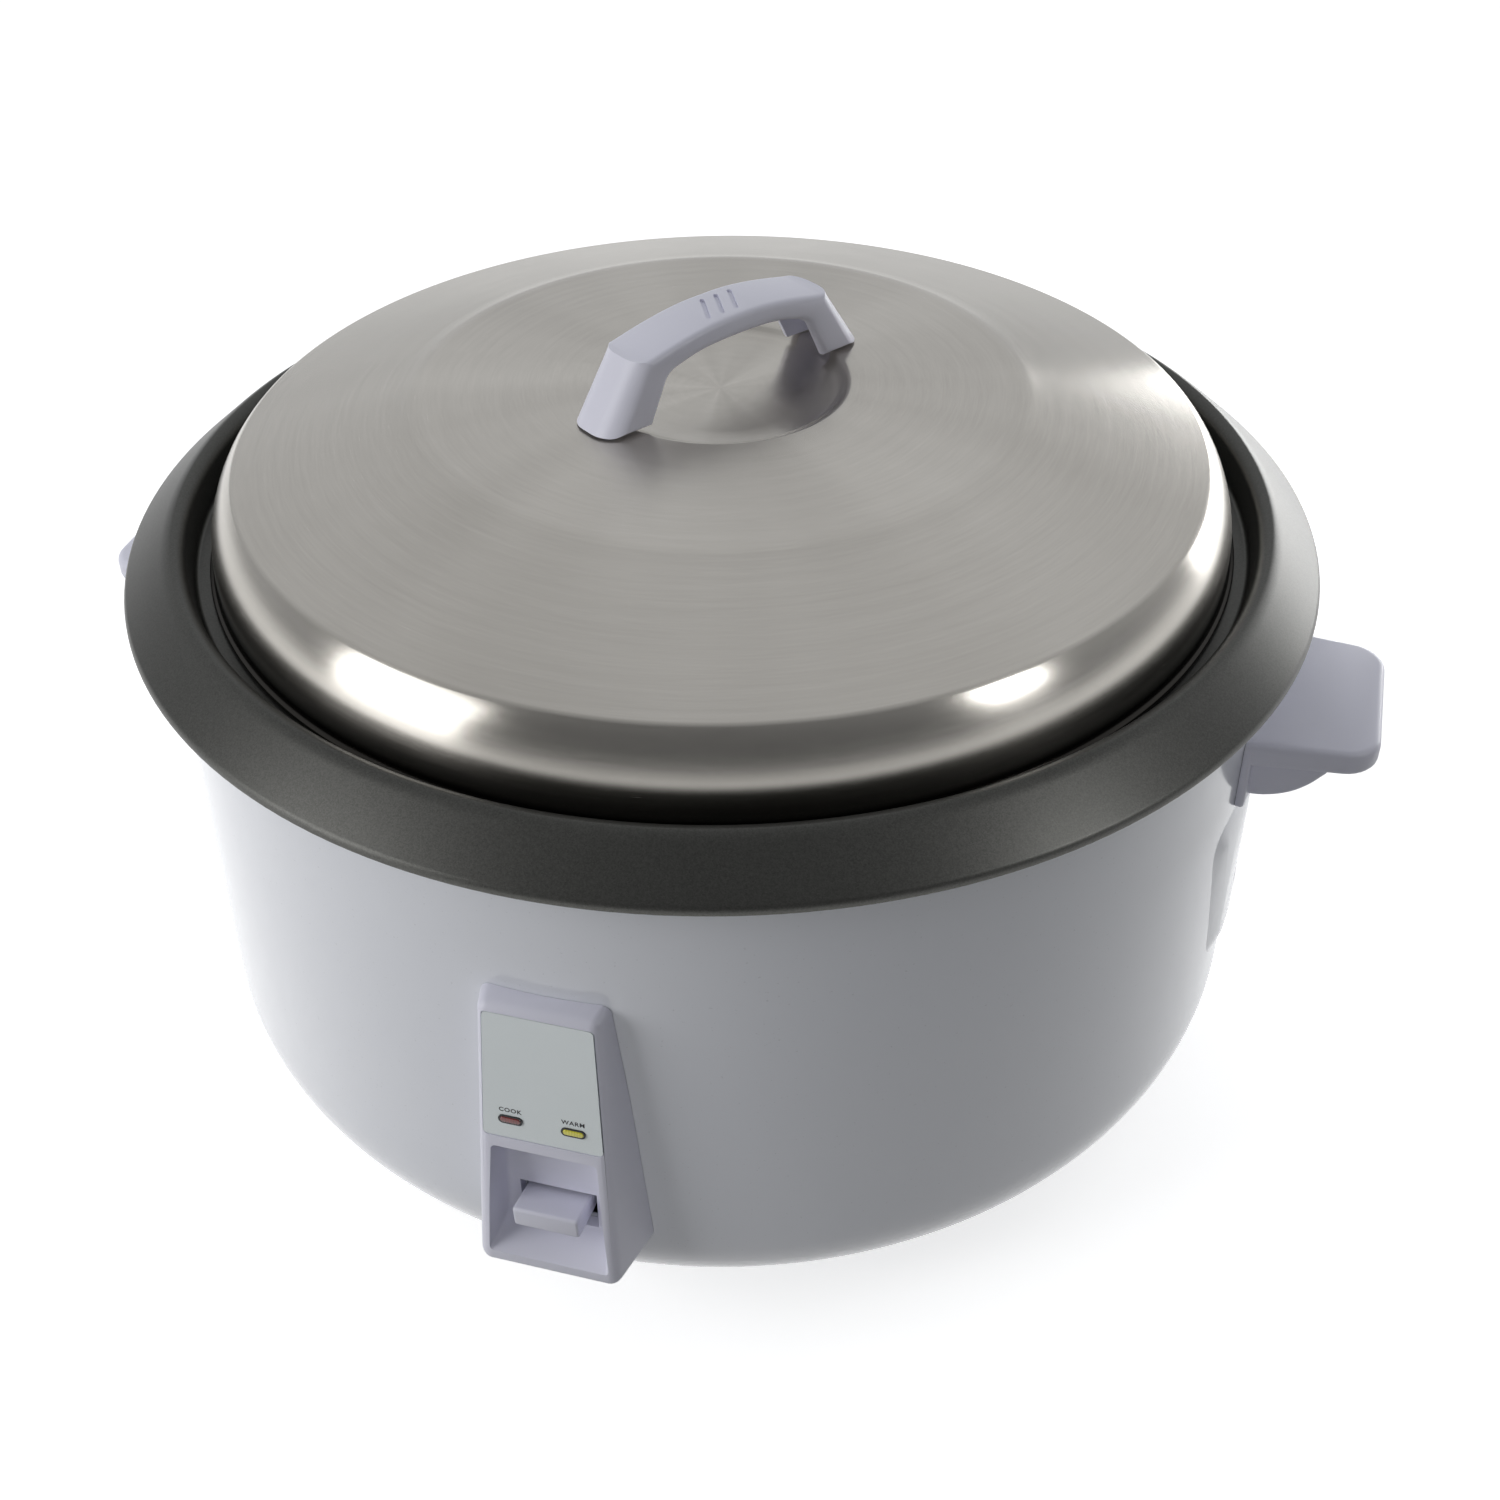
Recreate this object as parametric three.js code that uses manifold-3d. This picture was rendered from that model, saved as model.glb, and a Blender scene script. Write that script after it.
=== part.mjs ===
// A catering rice cooker: body, lift-out pan, lid, heater and the cook lever's linkage.
// Millimetres, +Z up, origin on the floor under the middle of the body, front towards -Y.
import * as THREE from "three";
import { mergeVertices } from "three/addons/utils/BufferGeometryUtils.js";
import { ConvexGeometry } from "three/addons/geometries/ConvexGeometry.js";
import Module from "manifold-3d";

// ---------------------------------------------------------------- sizes

const GAP = 0.3; // left between pieces that touch
const TURNS = 40; // facets round the large turned pieces
const SMALL_TURNS = 12; // facets round the small ones

// body
const BODY_R = 212;
const BODY_WALL = 1.5;
const RIM_Z = 223; // height of the pan flange's outer edge
const FOOT_HEIGHT = 7;
const BODY_FILLET = 45;
const SHOULDER = 6;
const BODY_LIP_R = BODY_R - 60; // hole in the body's floor
const SHELF_R = BODY_R - 15; // hole in the body's top

// pan
const SHEET = 2;
const PAN_R = BODY_R - 23; // inside of the wall at the top
const PAN_TAPER = 5;
const PAN_CORNER = 20;
const PAN_FLOOR_Z = 55; // underside of the pan
const LEDGE_Z = RIM_Z + 2; // where the lid's lip rests
const LEDGE_R = PAN_R + 10.5;
const CREST_R = LEDGE_R + 6.5;
const CREST_RISE = 15.5;
const FLANGE_R = BODY_R + 14;

// lid
const LID_SHEET = 1.2;
const LID_R = LEDGE_R - 7.5;
const LID_LIP_R = LID_R + 2.2;
const LID_WALL = 9.85; // height of the straight wall above the ledge
const LID_ROLL = 34; // radius of the wide roll above the wall
const LID_ROLL_TURN = 45; // degrees
const LID_CREASE = 4; // radius where the roll meets the cone
const LID_SLOPE = 0.29; // rise over run of the cone
const STEP_OUT = 120;
const STEP_IN = 113;
const STEP_RISE = 2.5;
const DISH_R = 47.6;
const DISH_DEPTH = 3.5;
const CROWN_RISE = 2.4; // from the step to the dish

// lid handle, along its own length
const GRIP_ANGLE = 56; // degrees from +X
const GRIP_FOOT_OUT = 61.5;
const GRIP_FOOT_IN = 41;
const GRIP_SHOULDER = 42;
const GRIP_RISE = 30.3;
const GRIP_BAR = 8.3;
const GRIP_WIDTH = 24;
const GRIP_FLARE = 0.05; // how much wider the feet are than the bar
const GRIP_CORNER = 9; // rounding of the feet, seen from above
const GRIP_WALL = 2.4;
const GROOVES = 3;
const GROOVE_PITCH = 6.4;
const GROOVE_LENGTH = 16;
const GROOVE_SLANT = 30;

// side handles
const HANDLE_TOP_Z = RIM_Z - 40;
const HANDLE_THICK = 10;
const HANDLE_REACH = BODY_R + 44;
const HANDLE_HALF = 37;
const HANDLE_TAPER = 6; // degrees that each side leans in towards the outer end
const HANDLE_CORNER = 13;
const BRACKET_HALF = 36;
const BRACKET_DROP = 16;
const BRACKET_REACH = BODY_R + 27;
const SEAT_THICK = 3.2;
const SEAT_HALF = 41;
const HANDLE_WALL = 3;

// control box
const BOX_TOP_Z = RIM_Z - 57.5;
const BOX_LOW_Z = RIM_Z - 176.5;
const BOX_TOP_OUT = BODY_R + 8;
const BOX_LOW_OUT = BODY_R + 19;
const BOX_TOP_HALF = 20.9;
const BOX_LOW_HALF = 25.5;
const BOX_BACK_TOP_HALF = 23.5;
const BOX_BACK_LOW_HALF = 34.5;
const BOX_EDGE = 3.5;
const BOX_WALL = 2.2;
const LABEL_LENGTH = 54;
const LABEL_DROP = 2.8;
const LABEL_RECESS = 1.8;
const NICHE_TOP_Z = RIM_Z - 119.5;
const NICHE_LOW_Z = RIM_Z - 171;
const NICHE_BACK = BODY_R + 4;
const NICHE_TOP_HALF = 20.4; // at the mouth
const NICHE_LOW_HALF = 23.4;
const NICHE_BACK_TOP_HALF = 17.8;
const NICHE_BACK_LOW_HALF = 19.4;
const SLOT_TOP_Z = RIM_Z - 146.5;
const SLOT_LOW_Z = RIM_Z - 163.5;
const SLOT_HALF = 14.2;

// cook lever and its linkage
const HINGE_OUT = BODY_R - 16; // distance of the hinge pin from the middle
const HINGE_Z = RIM_Z - 155;
const LEVER_REACH = BODY_R + 18;
const LEVER_HALF = 12;
const PIN_R = 1.5;
const PIN_HOLE = 1.8;
const ARM_PIVOT = 120;
const ARM_TOP_OUT = BODY_R - 6;
const ARM_HALF = 6;
const ARM_THICK = 2.4;
const ARM_Z = 17.2;

// heater and thermostat
const SHELL_SHEET = 1.2;
const SHELL_FLOOR_Z = 28;
const SHELL_TOP_R = PAN_R + 4.3;
const SHELL_LOW_R = PAN_R - 0.7;
const SHELL_CORNER = 30;
const PLATE_R = 150;
const PLATE_THICK = 16;
const ELEMENT_R = 100;
const CAP_R = 19;
const SLEEVE_R = 9.3;
const MAGNET_R = 8.5;
const MAGNET_TOP_Z = 43;
const MAGNET_TRAVEL = 3.65;
const CAP_TRAVEL = 1.5;

// base
const FOOT_RING = 136;
const FOOT_R = 11;
const VENTS = 10;

// inlet
const INLET_Z = RIM_Z - 118;
const INLET_TOP_Z = RIM_Z - 71;
const INLET_LOW_Z = RIM_Z - 148;
const INLET_TOP_HALF = 62;
const INLET_LOW_HALF = 42;
const SOCKET_HALF_Y = 14.7;
const SOCKET_HALF_Z = 10.7;
const SOCKET_DEPTH = 14;
const SOCKET_BROW = 4.3; // how far the socket's flange spreads inside the wall
const TERMINAL_OUT = 118; // terminal block, from the middle
const TERMINAL_DEPTH = 16;
const TERMINAL_HALF = 18;
const TERMINAL_HEIGHT = 11;

// ---------------------------------------------------------------- solid work

const wasm = await Module();
wasm.setup();

function solid(geometry) {
  const bare = geometry.clone();
  bare.deleteAttribute("normal");
  bare.deleteAttribute("uv");
  const merged = mergeVertices(bare, 1e-4);
  const vertProperties = merged.attributes.position.array;
  const triVerts = new Uint32Array(merged.index.array);
  const mesh = new wasm.Mesh({ numProp: 3, vertProperties, triVerts });
  return new wasm.Manifold(mesh);
}

function geometryOf(body) {
  const mesh = body.getMesh();
  const geometry = new THREE.BufferGeometry();
  const position = new THREE.BufferAttribute(mesh.vertProperties, 3);
  geometry.setAttribute("position", position);
  geometry.setIndex(new THREE.BufferAttribute(mesh.triVerts, 1));
  return geometry;
}

function join(first, ...others) {
  const add = (sum, g) => sum.add(solid(g));
  return geometryOf(others.reduce(add, solid(first)));
}

function cut(first, ...others) {
  const take = (rest, g) => rest.subtract(solid(g));
  return geometryOf(others.reduce(take, solid(first)));
}

function overlapOf(first, second) {
  return geometryOf(solid(first).intersect(solid(second)));
}

// ---------------------------------------------------------------- shapes

const v2 = (x, y) => new THREE.Vector2(x, y);
const rad = THREE.MathUtils.degToRad;

// points of an arc about (x, y), from one angle to another in degrees
function arc(x, y, r, from, to, steps = 5) {
  const points = [];
  for (let i = 0; i <= steps; i++) {
    const a = rad(from + ((to - from) * i) / steps);
    points.push(v2(x + r * Math.cos(a), y + r * Math.sin(a)));
  }
  return points;
}

// a profile of (radius, height) points turned about Z
function turned(profile, turns = TURNS) {
  const points = profile.map((p) => (Array.isArray(p) ? v2(...p) : p));
  if (THREE.ShapeUtils.area(points) < 0) points.reverse();
  const onAxis = points.some((p) => p.x === 0);
  if (!onAxis) points.push(points[0].clone());
  while (onAxis && !(points[0].x === 0 && points.at(-1).x === 0)) {
    points.push(points.shift());
  }
  const geometry = new THREE.LatheGeometry(points, turns);
  return geometry.rotateX(Math.PI / 2);
}

function rod(r, from, to, turns = SMALL_TURNS) {
  const profile = [[0, from], [r, from], [r, to], [0, to]];
  return turned(profile, turns);
}

function block(x0, x1, y0, y1, z0, z1) {
  const box = new THREE.BoxGeometry(x1 - x0, y1 - y0, z1 - z0);
  return box.translate((x0 + x1) / 2, (y0 + y1) / 2, (z0 + z1) / 2);
}

// a shape drawn in X and Y, thickened from z0 to z1 with a rounded edge
function plate(shape, z0, z1, edge = 0, edgeSteps = 2) {
  const settings = {
    depth: z1 - z0 - 2 * edge,
    bevelEnabled: edge > 0,
    bevelThickness: edge,
    bevelSize: edge,
    bevelOffset: -edge,
    bevelSegments: edgeSteps,
    curveSegments: 5,
  };
  const geometry = new THREE.ExtrudeGeometry(shape, settings);
  return geometry.translate(0, 0, z0 + edge);
}

// a side view drawn as (outward, height), thickened along X about the middle
function sideways(shape, half, edge = 0) {
  const geometry = plate(shape, -half, half, edge);
  geometry.rotateX(Math.PI / 2);
  return geometry.rotateZ(-Math.PI / 2);
}

// a four-sided shape with rounded corners: half widths at the top and bottom
function taper(topHalf, topY, lowHalf, lowY, corner) {
  const corners = [
    v2(-lowHalf, lowY),
    v2(lowHalf, lowY),
    v2(topHalf, topY),
    v2(-topHalf, topY),
  ];
  return softPolygon(corners, corner);
}

// a polygon with every corner rounded by the same size
function softPolygon(corners, size, steps = 3) {
  const points = [];
  corners.forEach((at, i) => {
    const before = corners.at(i - 1).clone().sub(at).setLength(size).add(at);
    const next = corners[(i + 1) % corners.length];
    const after = next.clone().sub(at).setLength(size).add(at);
    const bend = new THREE.QuadraticBezierCurve(before, at, after);
    points.push(...bend.getPoints(steps));
  });
  return new THREE.Shape(points);
}

function polygon(...corners) {
  return new THREE.Shape(corners.map((c) => v2(...c)));
}

// the smallest convex body round balls at the given centres
function hullOfBalls(centres, r, detail = 1) {
  const ball = new THREE.IcosahedronGeometry(r, detail).attributes.position;
  const points = [];
  for (const centre of centres) {
    for (let i = 0; i < ball.count; i++) {
      const p = new THREE.Vector3().fromBufferAttribute(ball, i);
      points.push(p.add(centre));
    }
  }
  return new ConvexGeometry(points);
}

function hull(corners) {
  return new ConvexGeometry(corners.map((c) => new THREE.Vector3(...c)));
}

// a rod along X, and one along Y
const rodX = (r, x0, x1, y, z, turns = 12) =>
  rod(r, x0, x1, turns).rotateY(Math.PI / 2).translate(0, y, z);
const rodY = (r, y0, y1, x, z, turns = 12) =>
  rod(r, -y1, -y0, turns).rotateX(Math.PI / 2).translate(x, 0, z);

// ---------------------------------------------------------------- colours

const COLOURS = {
  enamel: [0xd9dbe0, 0.18, 0.0],
  plastic: [0xc9c9d6, 0.38, 0.0],
  coating: [0x4a4b46, 0.45, 0.6],
  steel: [0xa9a79e, 0.28, 1.0],
  sheet: [0xb4b6b4, 0.45, 1.0],
  castAlloy: [0x9fa3a6, 0.5, 1.0],
  label: [0xb9c0bd, 0.4, 0.0],
  red: [0x9c2b22, 0.2, 0.0],
  yellow: [0xd9a63c, 0.2, 0.0],
  lamp: [0xe8d9c0, 0.1, 0.0],
  board: [0x6b4a2c, 0.6, 0.0],
  black: [0x1b1b1d, 0.5, 0.0],
  rubber: [0x2a2a2c, 0.85, 0.0],
  brass: [0xb39550, 0.35, 1.0],
  ferrite: [0x2f2f33, 0.7, 0.2],
  screw: [0xa8abae, 0.3, 1.0],
};

const cooker = new THREE.Group();
cooker.name = "rice_cooker";

function place(name, geometry, colour, parent = cooker) {
  const [color, roughness, metalness] = COLOURS[colour];
  const look = new THREE.MeshStandardMaterial({ color, roughness, metalness });
  const mesh = new THREE.Mesh(geometry, look);
  mesh.name = name;
  parent.add(mesh);
  return mesh;
}

// ---------------------------------------------------------------- body

const BODY_FLOOR_Z = FOOT_HEIGHT;
const SHELF_Z = LEDGE_Z - SHEET - 0.5; // top of the body, just under the pan's ledge
const FILLET_R = BODY_R - BODY_FILLET;
const FILLET_Z = BODY_FLOOR_Z + BODY_FILLET;

// the body's outer face, moved outwards by a distance, from its floor to its top
function bodyFace(out) {
  return [
    ...arc(FILLET_R, FILLET_Z, BODY_FILLET + out, -90, 0, 5),
    ...arc(BODY_R - SHOULDER, SHELF_Z - SHOULDER, SHOULDER + out, 0, 90, 2),
  ];
}

// the room the body fills, with a margin, for shaping whatever sits against it
function bodyRoom(margin) {
  const face = bodyFace(margin);
  return turned([v2(0, face[0].y), ...face, v2(0, face.at(-1).y)]);
}

// a tube that follows the body's wall, between two distances outside it
function wallBand(inner, outer, z0, z1) {
  const r0 = BODY_R + inner;
  const r1 = BODY_R + outer;
  return turned([[r0, z0], [r1, z0], [r1, z1], [r0, z1]]);
}

const SHEET_FLOOR_Z = BODY_FLOOR_Z + BODY_WALL;
const leverSlot = (margin) =>
  block(
    -SLOT_HALF - margin, SLOT_HALF + margin,
    -BODY_R - 8, -BODY_R + 8,
    SLOT_LOW_Z - margin, SLOT_TOP_Z + margin,
  );

const BOX_SCREWS = [
  { x: 0, z: BOX_TOP_Z - 8.5, tip: BODY_R + 5.2 },
  { x: -27, z: BOX_LOW_Z + 13.5, tip: BODY_R + 6 },
  { x: 27, z: BOX_LOW_Z + 13.5, tip: BODY_R + 6 },
];
const HANDLE_SCREW_Y = 22;
const HANDLE_SCREW_Z = HANDLE_TOP_Z - HANDLE_THICK - 6;
const BASE_SCREW_R = BODY_LIP_R + 5.5;
const BASE_SCREW_ANGLES = [90, 210, 330]; // clear of the rocker, which dips at 270

// how far out a screw head can sit against the wall's inside, on the flat of a facet
function insideWall(across) {
  const r = (BODY_R - BODY_WALL) * Math.cos(Math.PI / TURNS);
  return Math.sqrt(r ** 2 - across ** 2) - GAP;
}

function roundTheMiddle(r, degrees) {
  const a = rad(degrees);
  return [r * Math.cos(a), r * Math.sin(a)];
}

function makeBody() {
  const shell = turned([
    [BODY_LIP_R, BODY_FLOOR_Z],
    ...bodyFace(0),
    [SHELF_R, SHELF_Z],
    [SHELF_R, SHELF_Z - BODY_WALL],
    ...bodyFace(-BODY_WALL).reverse(),
    [BODY_LIP_R, SHEET_FLOOR_Z],
  ]);
  const holes = [leverSlot(0)];
  for (const s of BOX_SCREWS) {
    holes.push(rodY(PIN_HOLE, -BODY_R - 4, -BODY_R + 12, s.x, s.z));
  }
  for (const y of [-HANDLE_SCREW_Y, HANDLE_SCREW_Y]) {
    for (const side of [-1, 1]) {
      const [x0, x1] = [side * BODY_R - 8, side * BODY_R + 8];
      holes.push(rodX(2.3, x0, x1, y, HANDLE_SCREW_Z));
    }
  }
  for (const angle of BASE_SCREW_ANGLES) {
    const [x, y] = roundTheMiddle(BASE_SCREW_R, angle);
    holes.push(rod(2, 0, 20, 12).translate(x, y, 0));
  }
  const inlet = [SOCKET_HALF_Y + 0.6, SOCKET_HALF_Z + 0.6];
  holes.push(
    block(
      BODY_R - 10, BODY_R + 10,
      -inlet[0], inlet[0],
      INLET_Z - inlet[1], INLET_Z + inlet[1],
    ),
  );
  return cut(shell, ...holes);
}
place("outer_body", makeBody(), "enamel");

// ---------------------------------------------------------------- base

const BASE_Z = SHEET_FLOOR_Z + GAP;
const BASE_THICK = 1.2;
const BASE_R = BODY_LIP_R + 11;
const FOOT_ANGLES = [45, 135, 225, 315];
const FOOT_STEM = 3.7;

function makeBase() {
  const disc = rod(BASE_R, BASE_Z, BASE_Z + BASE_THICK, TURNS);
  const holes = [rod(14, 0, 20, 24)];
  for (const angle of FOOT_ANGLES) {
    const [x, y] = roundTheMiddle(FOOT_RING, angle);
    holes.push(rod(FOOT_STEM + GAP, 0, 20, 12).translate(x, y, 0));
  }
  for (const angle of BASE_SCREW_ANGLES) {
    const [x, y] = roundTheMiddle(BASE_SCREW_R, angle);
    holes.push(rod(PIN_HOLE, 0, 20, 12).translate(x, y, 0));
  }
  for (let i = 0; i < VENTS; i++) {
    const slot = softPolygon([v2(55, -3), v2(105, -3), v2(105, 3), v2(55, 3)], 2.9, 1);
    const turn = rad((360 * (i + 0.5)) / VENTS);
    holes.push(plate(slot, 0, 20).rotateZ(turn));
  }
  return cut(disc, ...holes);
}
place("base_plate", makeBase(), "sheet");

FOOT_ANGLES.forEach((angle, i) => {
  const under = BASE_Z - GAP;
  const over = BASE_Z + BASE_THICK + GAP;
  const foot = turned(
    [
      [0, 0], [FOOT_R - 2.5, 0], [FOOT_R - 0.8, 0.8], [FOOT_R, 2.5], [FOOT_R - 1, under],
      [FOOT_STEM, under], [FOOT_STEM, over], [FOOT_STEM + 1.2, over],
      [FOOT_STEM - 1, over + 4], [0, over + 4],
    ],
    SMALL_TURNS,
  );
  const [x, y] = roundTheMiddle(FOOT_RING, angle);
  place(`foot_${i + 1}`, foot, "rubber").position.set(x, y, 0);
});

BASE_SCREW_ANGLES.forEach((angle, i) => {
  const head = BODY_FLOOR_Z - GAP;
  const screw = turned(
    [[0, head - 2.4], [2.6, head - 2.1], [3.6, head], [PIN_R, head], [PIN_R, 16], [0, 16]],
    10,
  );
  const [x, y] = roundTheMiddle(BASE_SCREW_R, angle);
  place(`base_screw_${i + 1}`, screw, "screw").position.set(x, y, 0);
});

// ---------------------------------------------------------------- heat shield

const SHELL_INSIDE_Z = SHELL_FLOOR_Z + SHELL_SHEET;
const SHELL_TOP_Z = SHELF_Z - BODY_WALL - GAP;
const SHELL_HOLE = SLEEVE_R + 2.7;
const SHELL_WAIST_Z = 105; // where the wall starts to widen towards the top
const POST_R = 128;
const POST_ANGLES = [90, 210, 330];
const TERMINAL_X = 14;

function makeInnerShell() {
  const corner = SHELL_LOW_R - SHELL_CORNER;
  const cornerZ = SHELL_FLOOR_Z + SHELL_CORNER;
  const t = SHELL_SHEET;
  const brim = SHELL_TOP_R + 10;
  const shell = turned([
    [SHELL_HOLE, SHELL_FLOOR_Z],
    ...arc(corner, cornerZ, SHELL_CORNER + t, -90, 0, 4).map((p) => v2(p.x, p.y + t)),
    [SHELL_LOW_R + t, SHELL_WAIST_Z],
    [SHELL_TOP_R + t, SHELL_TOP_Z - 4],
    [SHELL_TOP_R + t + 1, SHELL_TOP_Z - t],
    [brim, SHELL_TOP_Z - t],
    [brim, SHELL_TOP_Z],
    [SHELL_TOP_R + 1, SHELL_TOP_Z],
    [SHELL_TOP_R, SHELL_TOP_Z - 3.4],
    [SHELL_LOW_R, SHELL_WAIST_Z],
    ...arc(corner, cornerZ, SHELL_CORNER, 0, -90, 4).map((p) => v2(p.x, p.y + t)),
    [SHELL_HOLE, SHELL_INSIDE_Z],
  ]);
  const holes = [];
  for (const angle of POST_ANGLES) {
    const [x, y] = roundTheMiddle(POST_R, angle);
    holes.push(rod(3, 0, 50, 12).translate(x, y, 0));
  }
  for (const x of [-TERMINAL_X, TERMINAL_X]) {
    holes.push(rod(4, 0, 50, 12).translate(x, ELEMENT_R, 0));
  }
  return cut(shell, ...holes);
}
place("inner_shell", makeInnerShell(), "sheet");

// ---------------------------------------------------------------- heating plate

const PLATE_TOP_Z = PAN_FLOOR_Z - GAP;
const PLATE_LOW_Z = PLATE_TOP_Z - PLATE_THICK;
const ELEMENT_HALF = 8;
const ELEMENT_DROP = 5.7;
const CAP_STOP_Z = PLATE_TOP_Z - 8.7; // underside of the shoulder that keeps the cap in

place(
  "heating_plate",
  turned([
    [CAP_R + 1, PLATE_TOP_Z],
    [CAP_R + 1, CAP_STOP_Z],
    [CAP_R + 6, CAP_STOP_Z],
    [CAP_R + 6, PLATE_LOW_Z],
    [ELEMENT_R - ELEMENT_HALF, PLATE_LOW_Z],
    ...arc(ELEMENT_R, PLATE_LOW_Z, ELEMENT_DROP, 180, 360, 4),
    [ELEMENT_R + ELEMENT_HALF, PLATE_LOW_Z],
    [PLATE_R - 12, PLATE_LOW_Z],
    [PLATE_R, PLATE_LOW_Z + 9],
    [PLATE_R, PLATE_TOP_Z - 2],
    [PLATE_R - 3, PLATE_TOP_Z],
  ], TURNS),
  "castAlloy",
);

POST_ANGLES.forEach((angle, i) => {
  const seat = SHELL_INSIDE_Z + GAP;
  const under = SHELL_FLOOR_Z - GAP;
  const post = turned(
    [
      [0, under - 4], [4.4, under - 4], [4.4, under], [2.6, under], [2.6, seat],
      [6, seat], [6, PLATE_LOW_Z - GAP], [0, PLATE_LOW_Z - GAP],
    ],
    12,
  );
  const [x, y] = roundTheMiddle(POST_R, angle);
  place(`plate_post_${i + 1}`, post, "screw").position.set(x, y, 0);
});

[-TERMINAL_X, TERMINAL_X].forEach((x, i) => {
  const top = PLATE_LOW_Z - ELEMENT_DROP - GAP;
  const stud = turned(
    [[0, 19], [2, 19], [2, 24], [3.4, 24], [3.4, top - 1], [2.4, top], [0, top]],
    12,
  );
  place(`terminal_${i + 1}`, stud, "brass").position.set(x, ELEMENT_R, 0);
});

// a capsule cut-out held under the heating plate by a flat strap
function makeFuse() {
  const top = PLATE_LOW_Z - GAP;
  const strap = block(-4, 4, -12, 12, top - 1.4, top);
  const capsule = rodX(3, -9, 9, 0, top - 3.6);
  return join(strap, capsule);
}
place("thermal_fuse", makeFuse(), "screw").position.set(-52, 42, 0);

// ---------------------------------------------------------------- thermostat

const CAP_LIP_Z = PLATE_TOP_Z - 14.7;
const CAP_SHEET = 1.2;

place(
  "sensor_cap",
  turned(
    [
      [0, PLATE_TOP_Z], [CAP_R - 1, PLATE_TOP_Z], [CAP_R, PLATE_TOP_Z - 1],
      [CAP_R, CAP_LIP_Z + CAP_SHEET], [CAP_R + 2.5, CAP_LIP_Z + CAP_SHEET],
      [CAP_R + 2.5, CAP_LIP_Z], [CAP_R - CAP_SHEET, CAP_LIP_Z],
      [CAP_R - CAP_SHEET, PLATE_TOP_Z - 1.5], [0, PLATE_TOP_Z - 1.5],
    ],
    20,
  ),
  "castAlloy",
);

const DISC_TOP_Z = PLATE_TOP_Z - 1.5 - GAP;
const DISC_LOW_Z = MAGNET_TOP_Z + MAGNET_TRAVEL + CAP_TRAVEL + GAP;
place("sensor_disc", rod(12, DISC_LOW_Z, DISC_TOP_Z), "ferrite");

const SLEEVE_FLANGE_Z = SHELL_INSIDE_Z + GAP;
const SLEEVE_SHEET = 1.6;
place(
  "sensor_sleeve",
  turned(
    [
      [SLEEVE_R, 24], [SLEEVE_R + SLEEVE_SHEET, 24],
      [SLEEVE_R + SLEEVE_SHEET, SLEEVE_FLANGE_Z], [CAP_R + 4, SLEEVE_FLANGE_Z],
      [CAP_R + 4, SLEEVE_FLANGE_Z + SLEEVE_SHEET],
      [SLEEVE_R + SLEEVE_SHEET, SLEEVE_FLANGE_Z + SLEEVE_SHEET],
      [SLEEVE_R + SLEEVE_SHEET, MAGNET_TOP_Z - 3], [SLEEVE_R, MAGNET_TOP_Z - 3],
    ],
    20,
  ),
  "sheet",
);

// the path of a coil spring with a flat turn at each end
class CoilPath extends THREE.Curve {
  constructor(r, from, to, turns) {
    super();
    Object.assign(this, { r, from, to, turns });
  }
  getPoint(t, target = new THREE.Vector3()) {
    const a = t * this.turns * 2 * Math.PI;
    const rise = THREE.MathUtils.clamp((t - 0.15) / 0.7, 0, 1);
    const z = this.from + (this.to - this.from) * rise;
    return target.set(this.r * Math.cos(a), this.r * Math.sin(a), z);
  }
}

function makeSpring() {
  const wire = 0.6;
  const from = SLEEVE_FLANGE_Z + SLEEVE_SHEET + GAP + wire;
  const to = CAP_LIP_Z - GAP - wire;
  const path = new CoilPath(CAP_R - 1, from, to, 3.6);
  const section = new THREE.Shape(arc(0, 0, wire, 0, 300, 5));
  const settings = { steps: 54, bevelEnabled: false, extrudePath: path };
  return new THREE.ExtrudeGeometry(section, settings);
}
place("sensor_spring", makeSpring(), "steel");

const ROD_R = 2.5;
const COLLAR_R = 6;
place(
  "magnet",
  turned(
    [
      [ROD_R + GAP, MAGNET_TOP_Z - 9.5], [MAGNET_R, MAGNET_TOP_Z - 9.5],
      [MAGNET_R, MAGNET_TOP_Z], [ROD_R + GAP, MAGNET_TOP_Z],
    ],
    20,
  ),
  "ferrite",
);

const MAGNET_SEAT_Z = MAGNET_TOP_Z - 9.5 - GAP;
place(
  "magnet_rod",
  turned(
    [
      [0, ARM_Z - 4.7], [COLLAR_R, ARM_Z - 4.7], [COLLAR_R, ARM_Z - 3.2], [ROD_R, ARM_Z - 3.2],
      [ROD_R, ARM_Z + 3], [COLLAR_R, ARM_Z + 3], [COLLAR_R, ARM_Z + 4.5], [ROD_R, ARM_Z + 4.5],
      [ROD_R, MAGNET_SEAT_Z - 1.5], [COLLAR_R, MAGNET_SEAT_Z - 1.5], [COLLAR_R, MAGNET_SEAT_Z],
      [ROD_R, MAGNET_SEAT_Z], [ROD_R, MAGNET_TOP_Z - GAP], [0, MAGNET_TOP_Z - GAP],
    ],
    10,
  ),
  "screw",
);

// ---------------------------------------------------------------- lever linkage

const LEVER_UNDER = 3; // how far the lever's underside is below its hinge, at the arm
const ARM_TOP_Z = HINGE_Z - LEVER_UNDER - 0.8;

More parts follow.
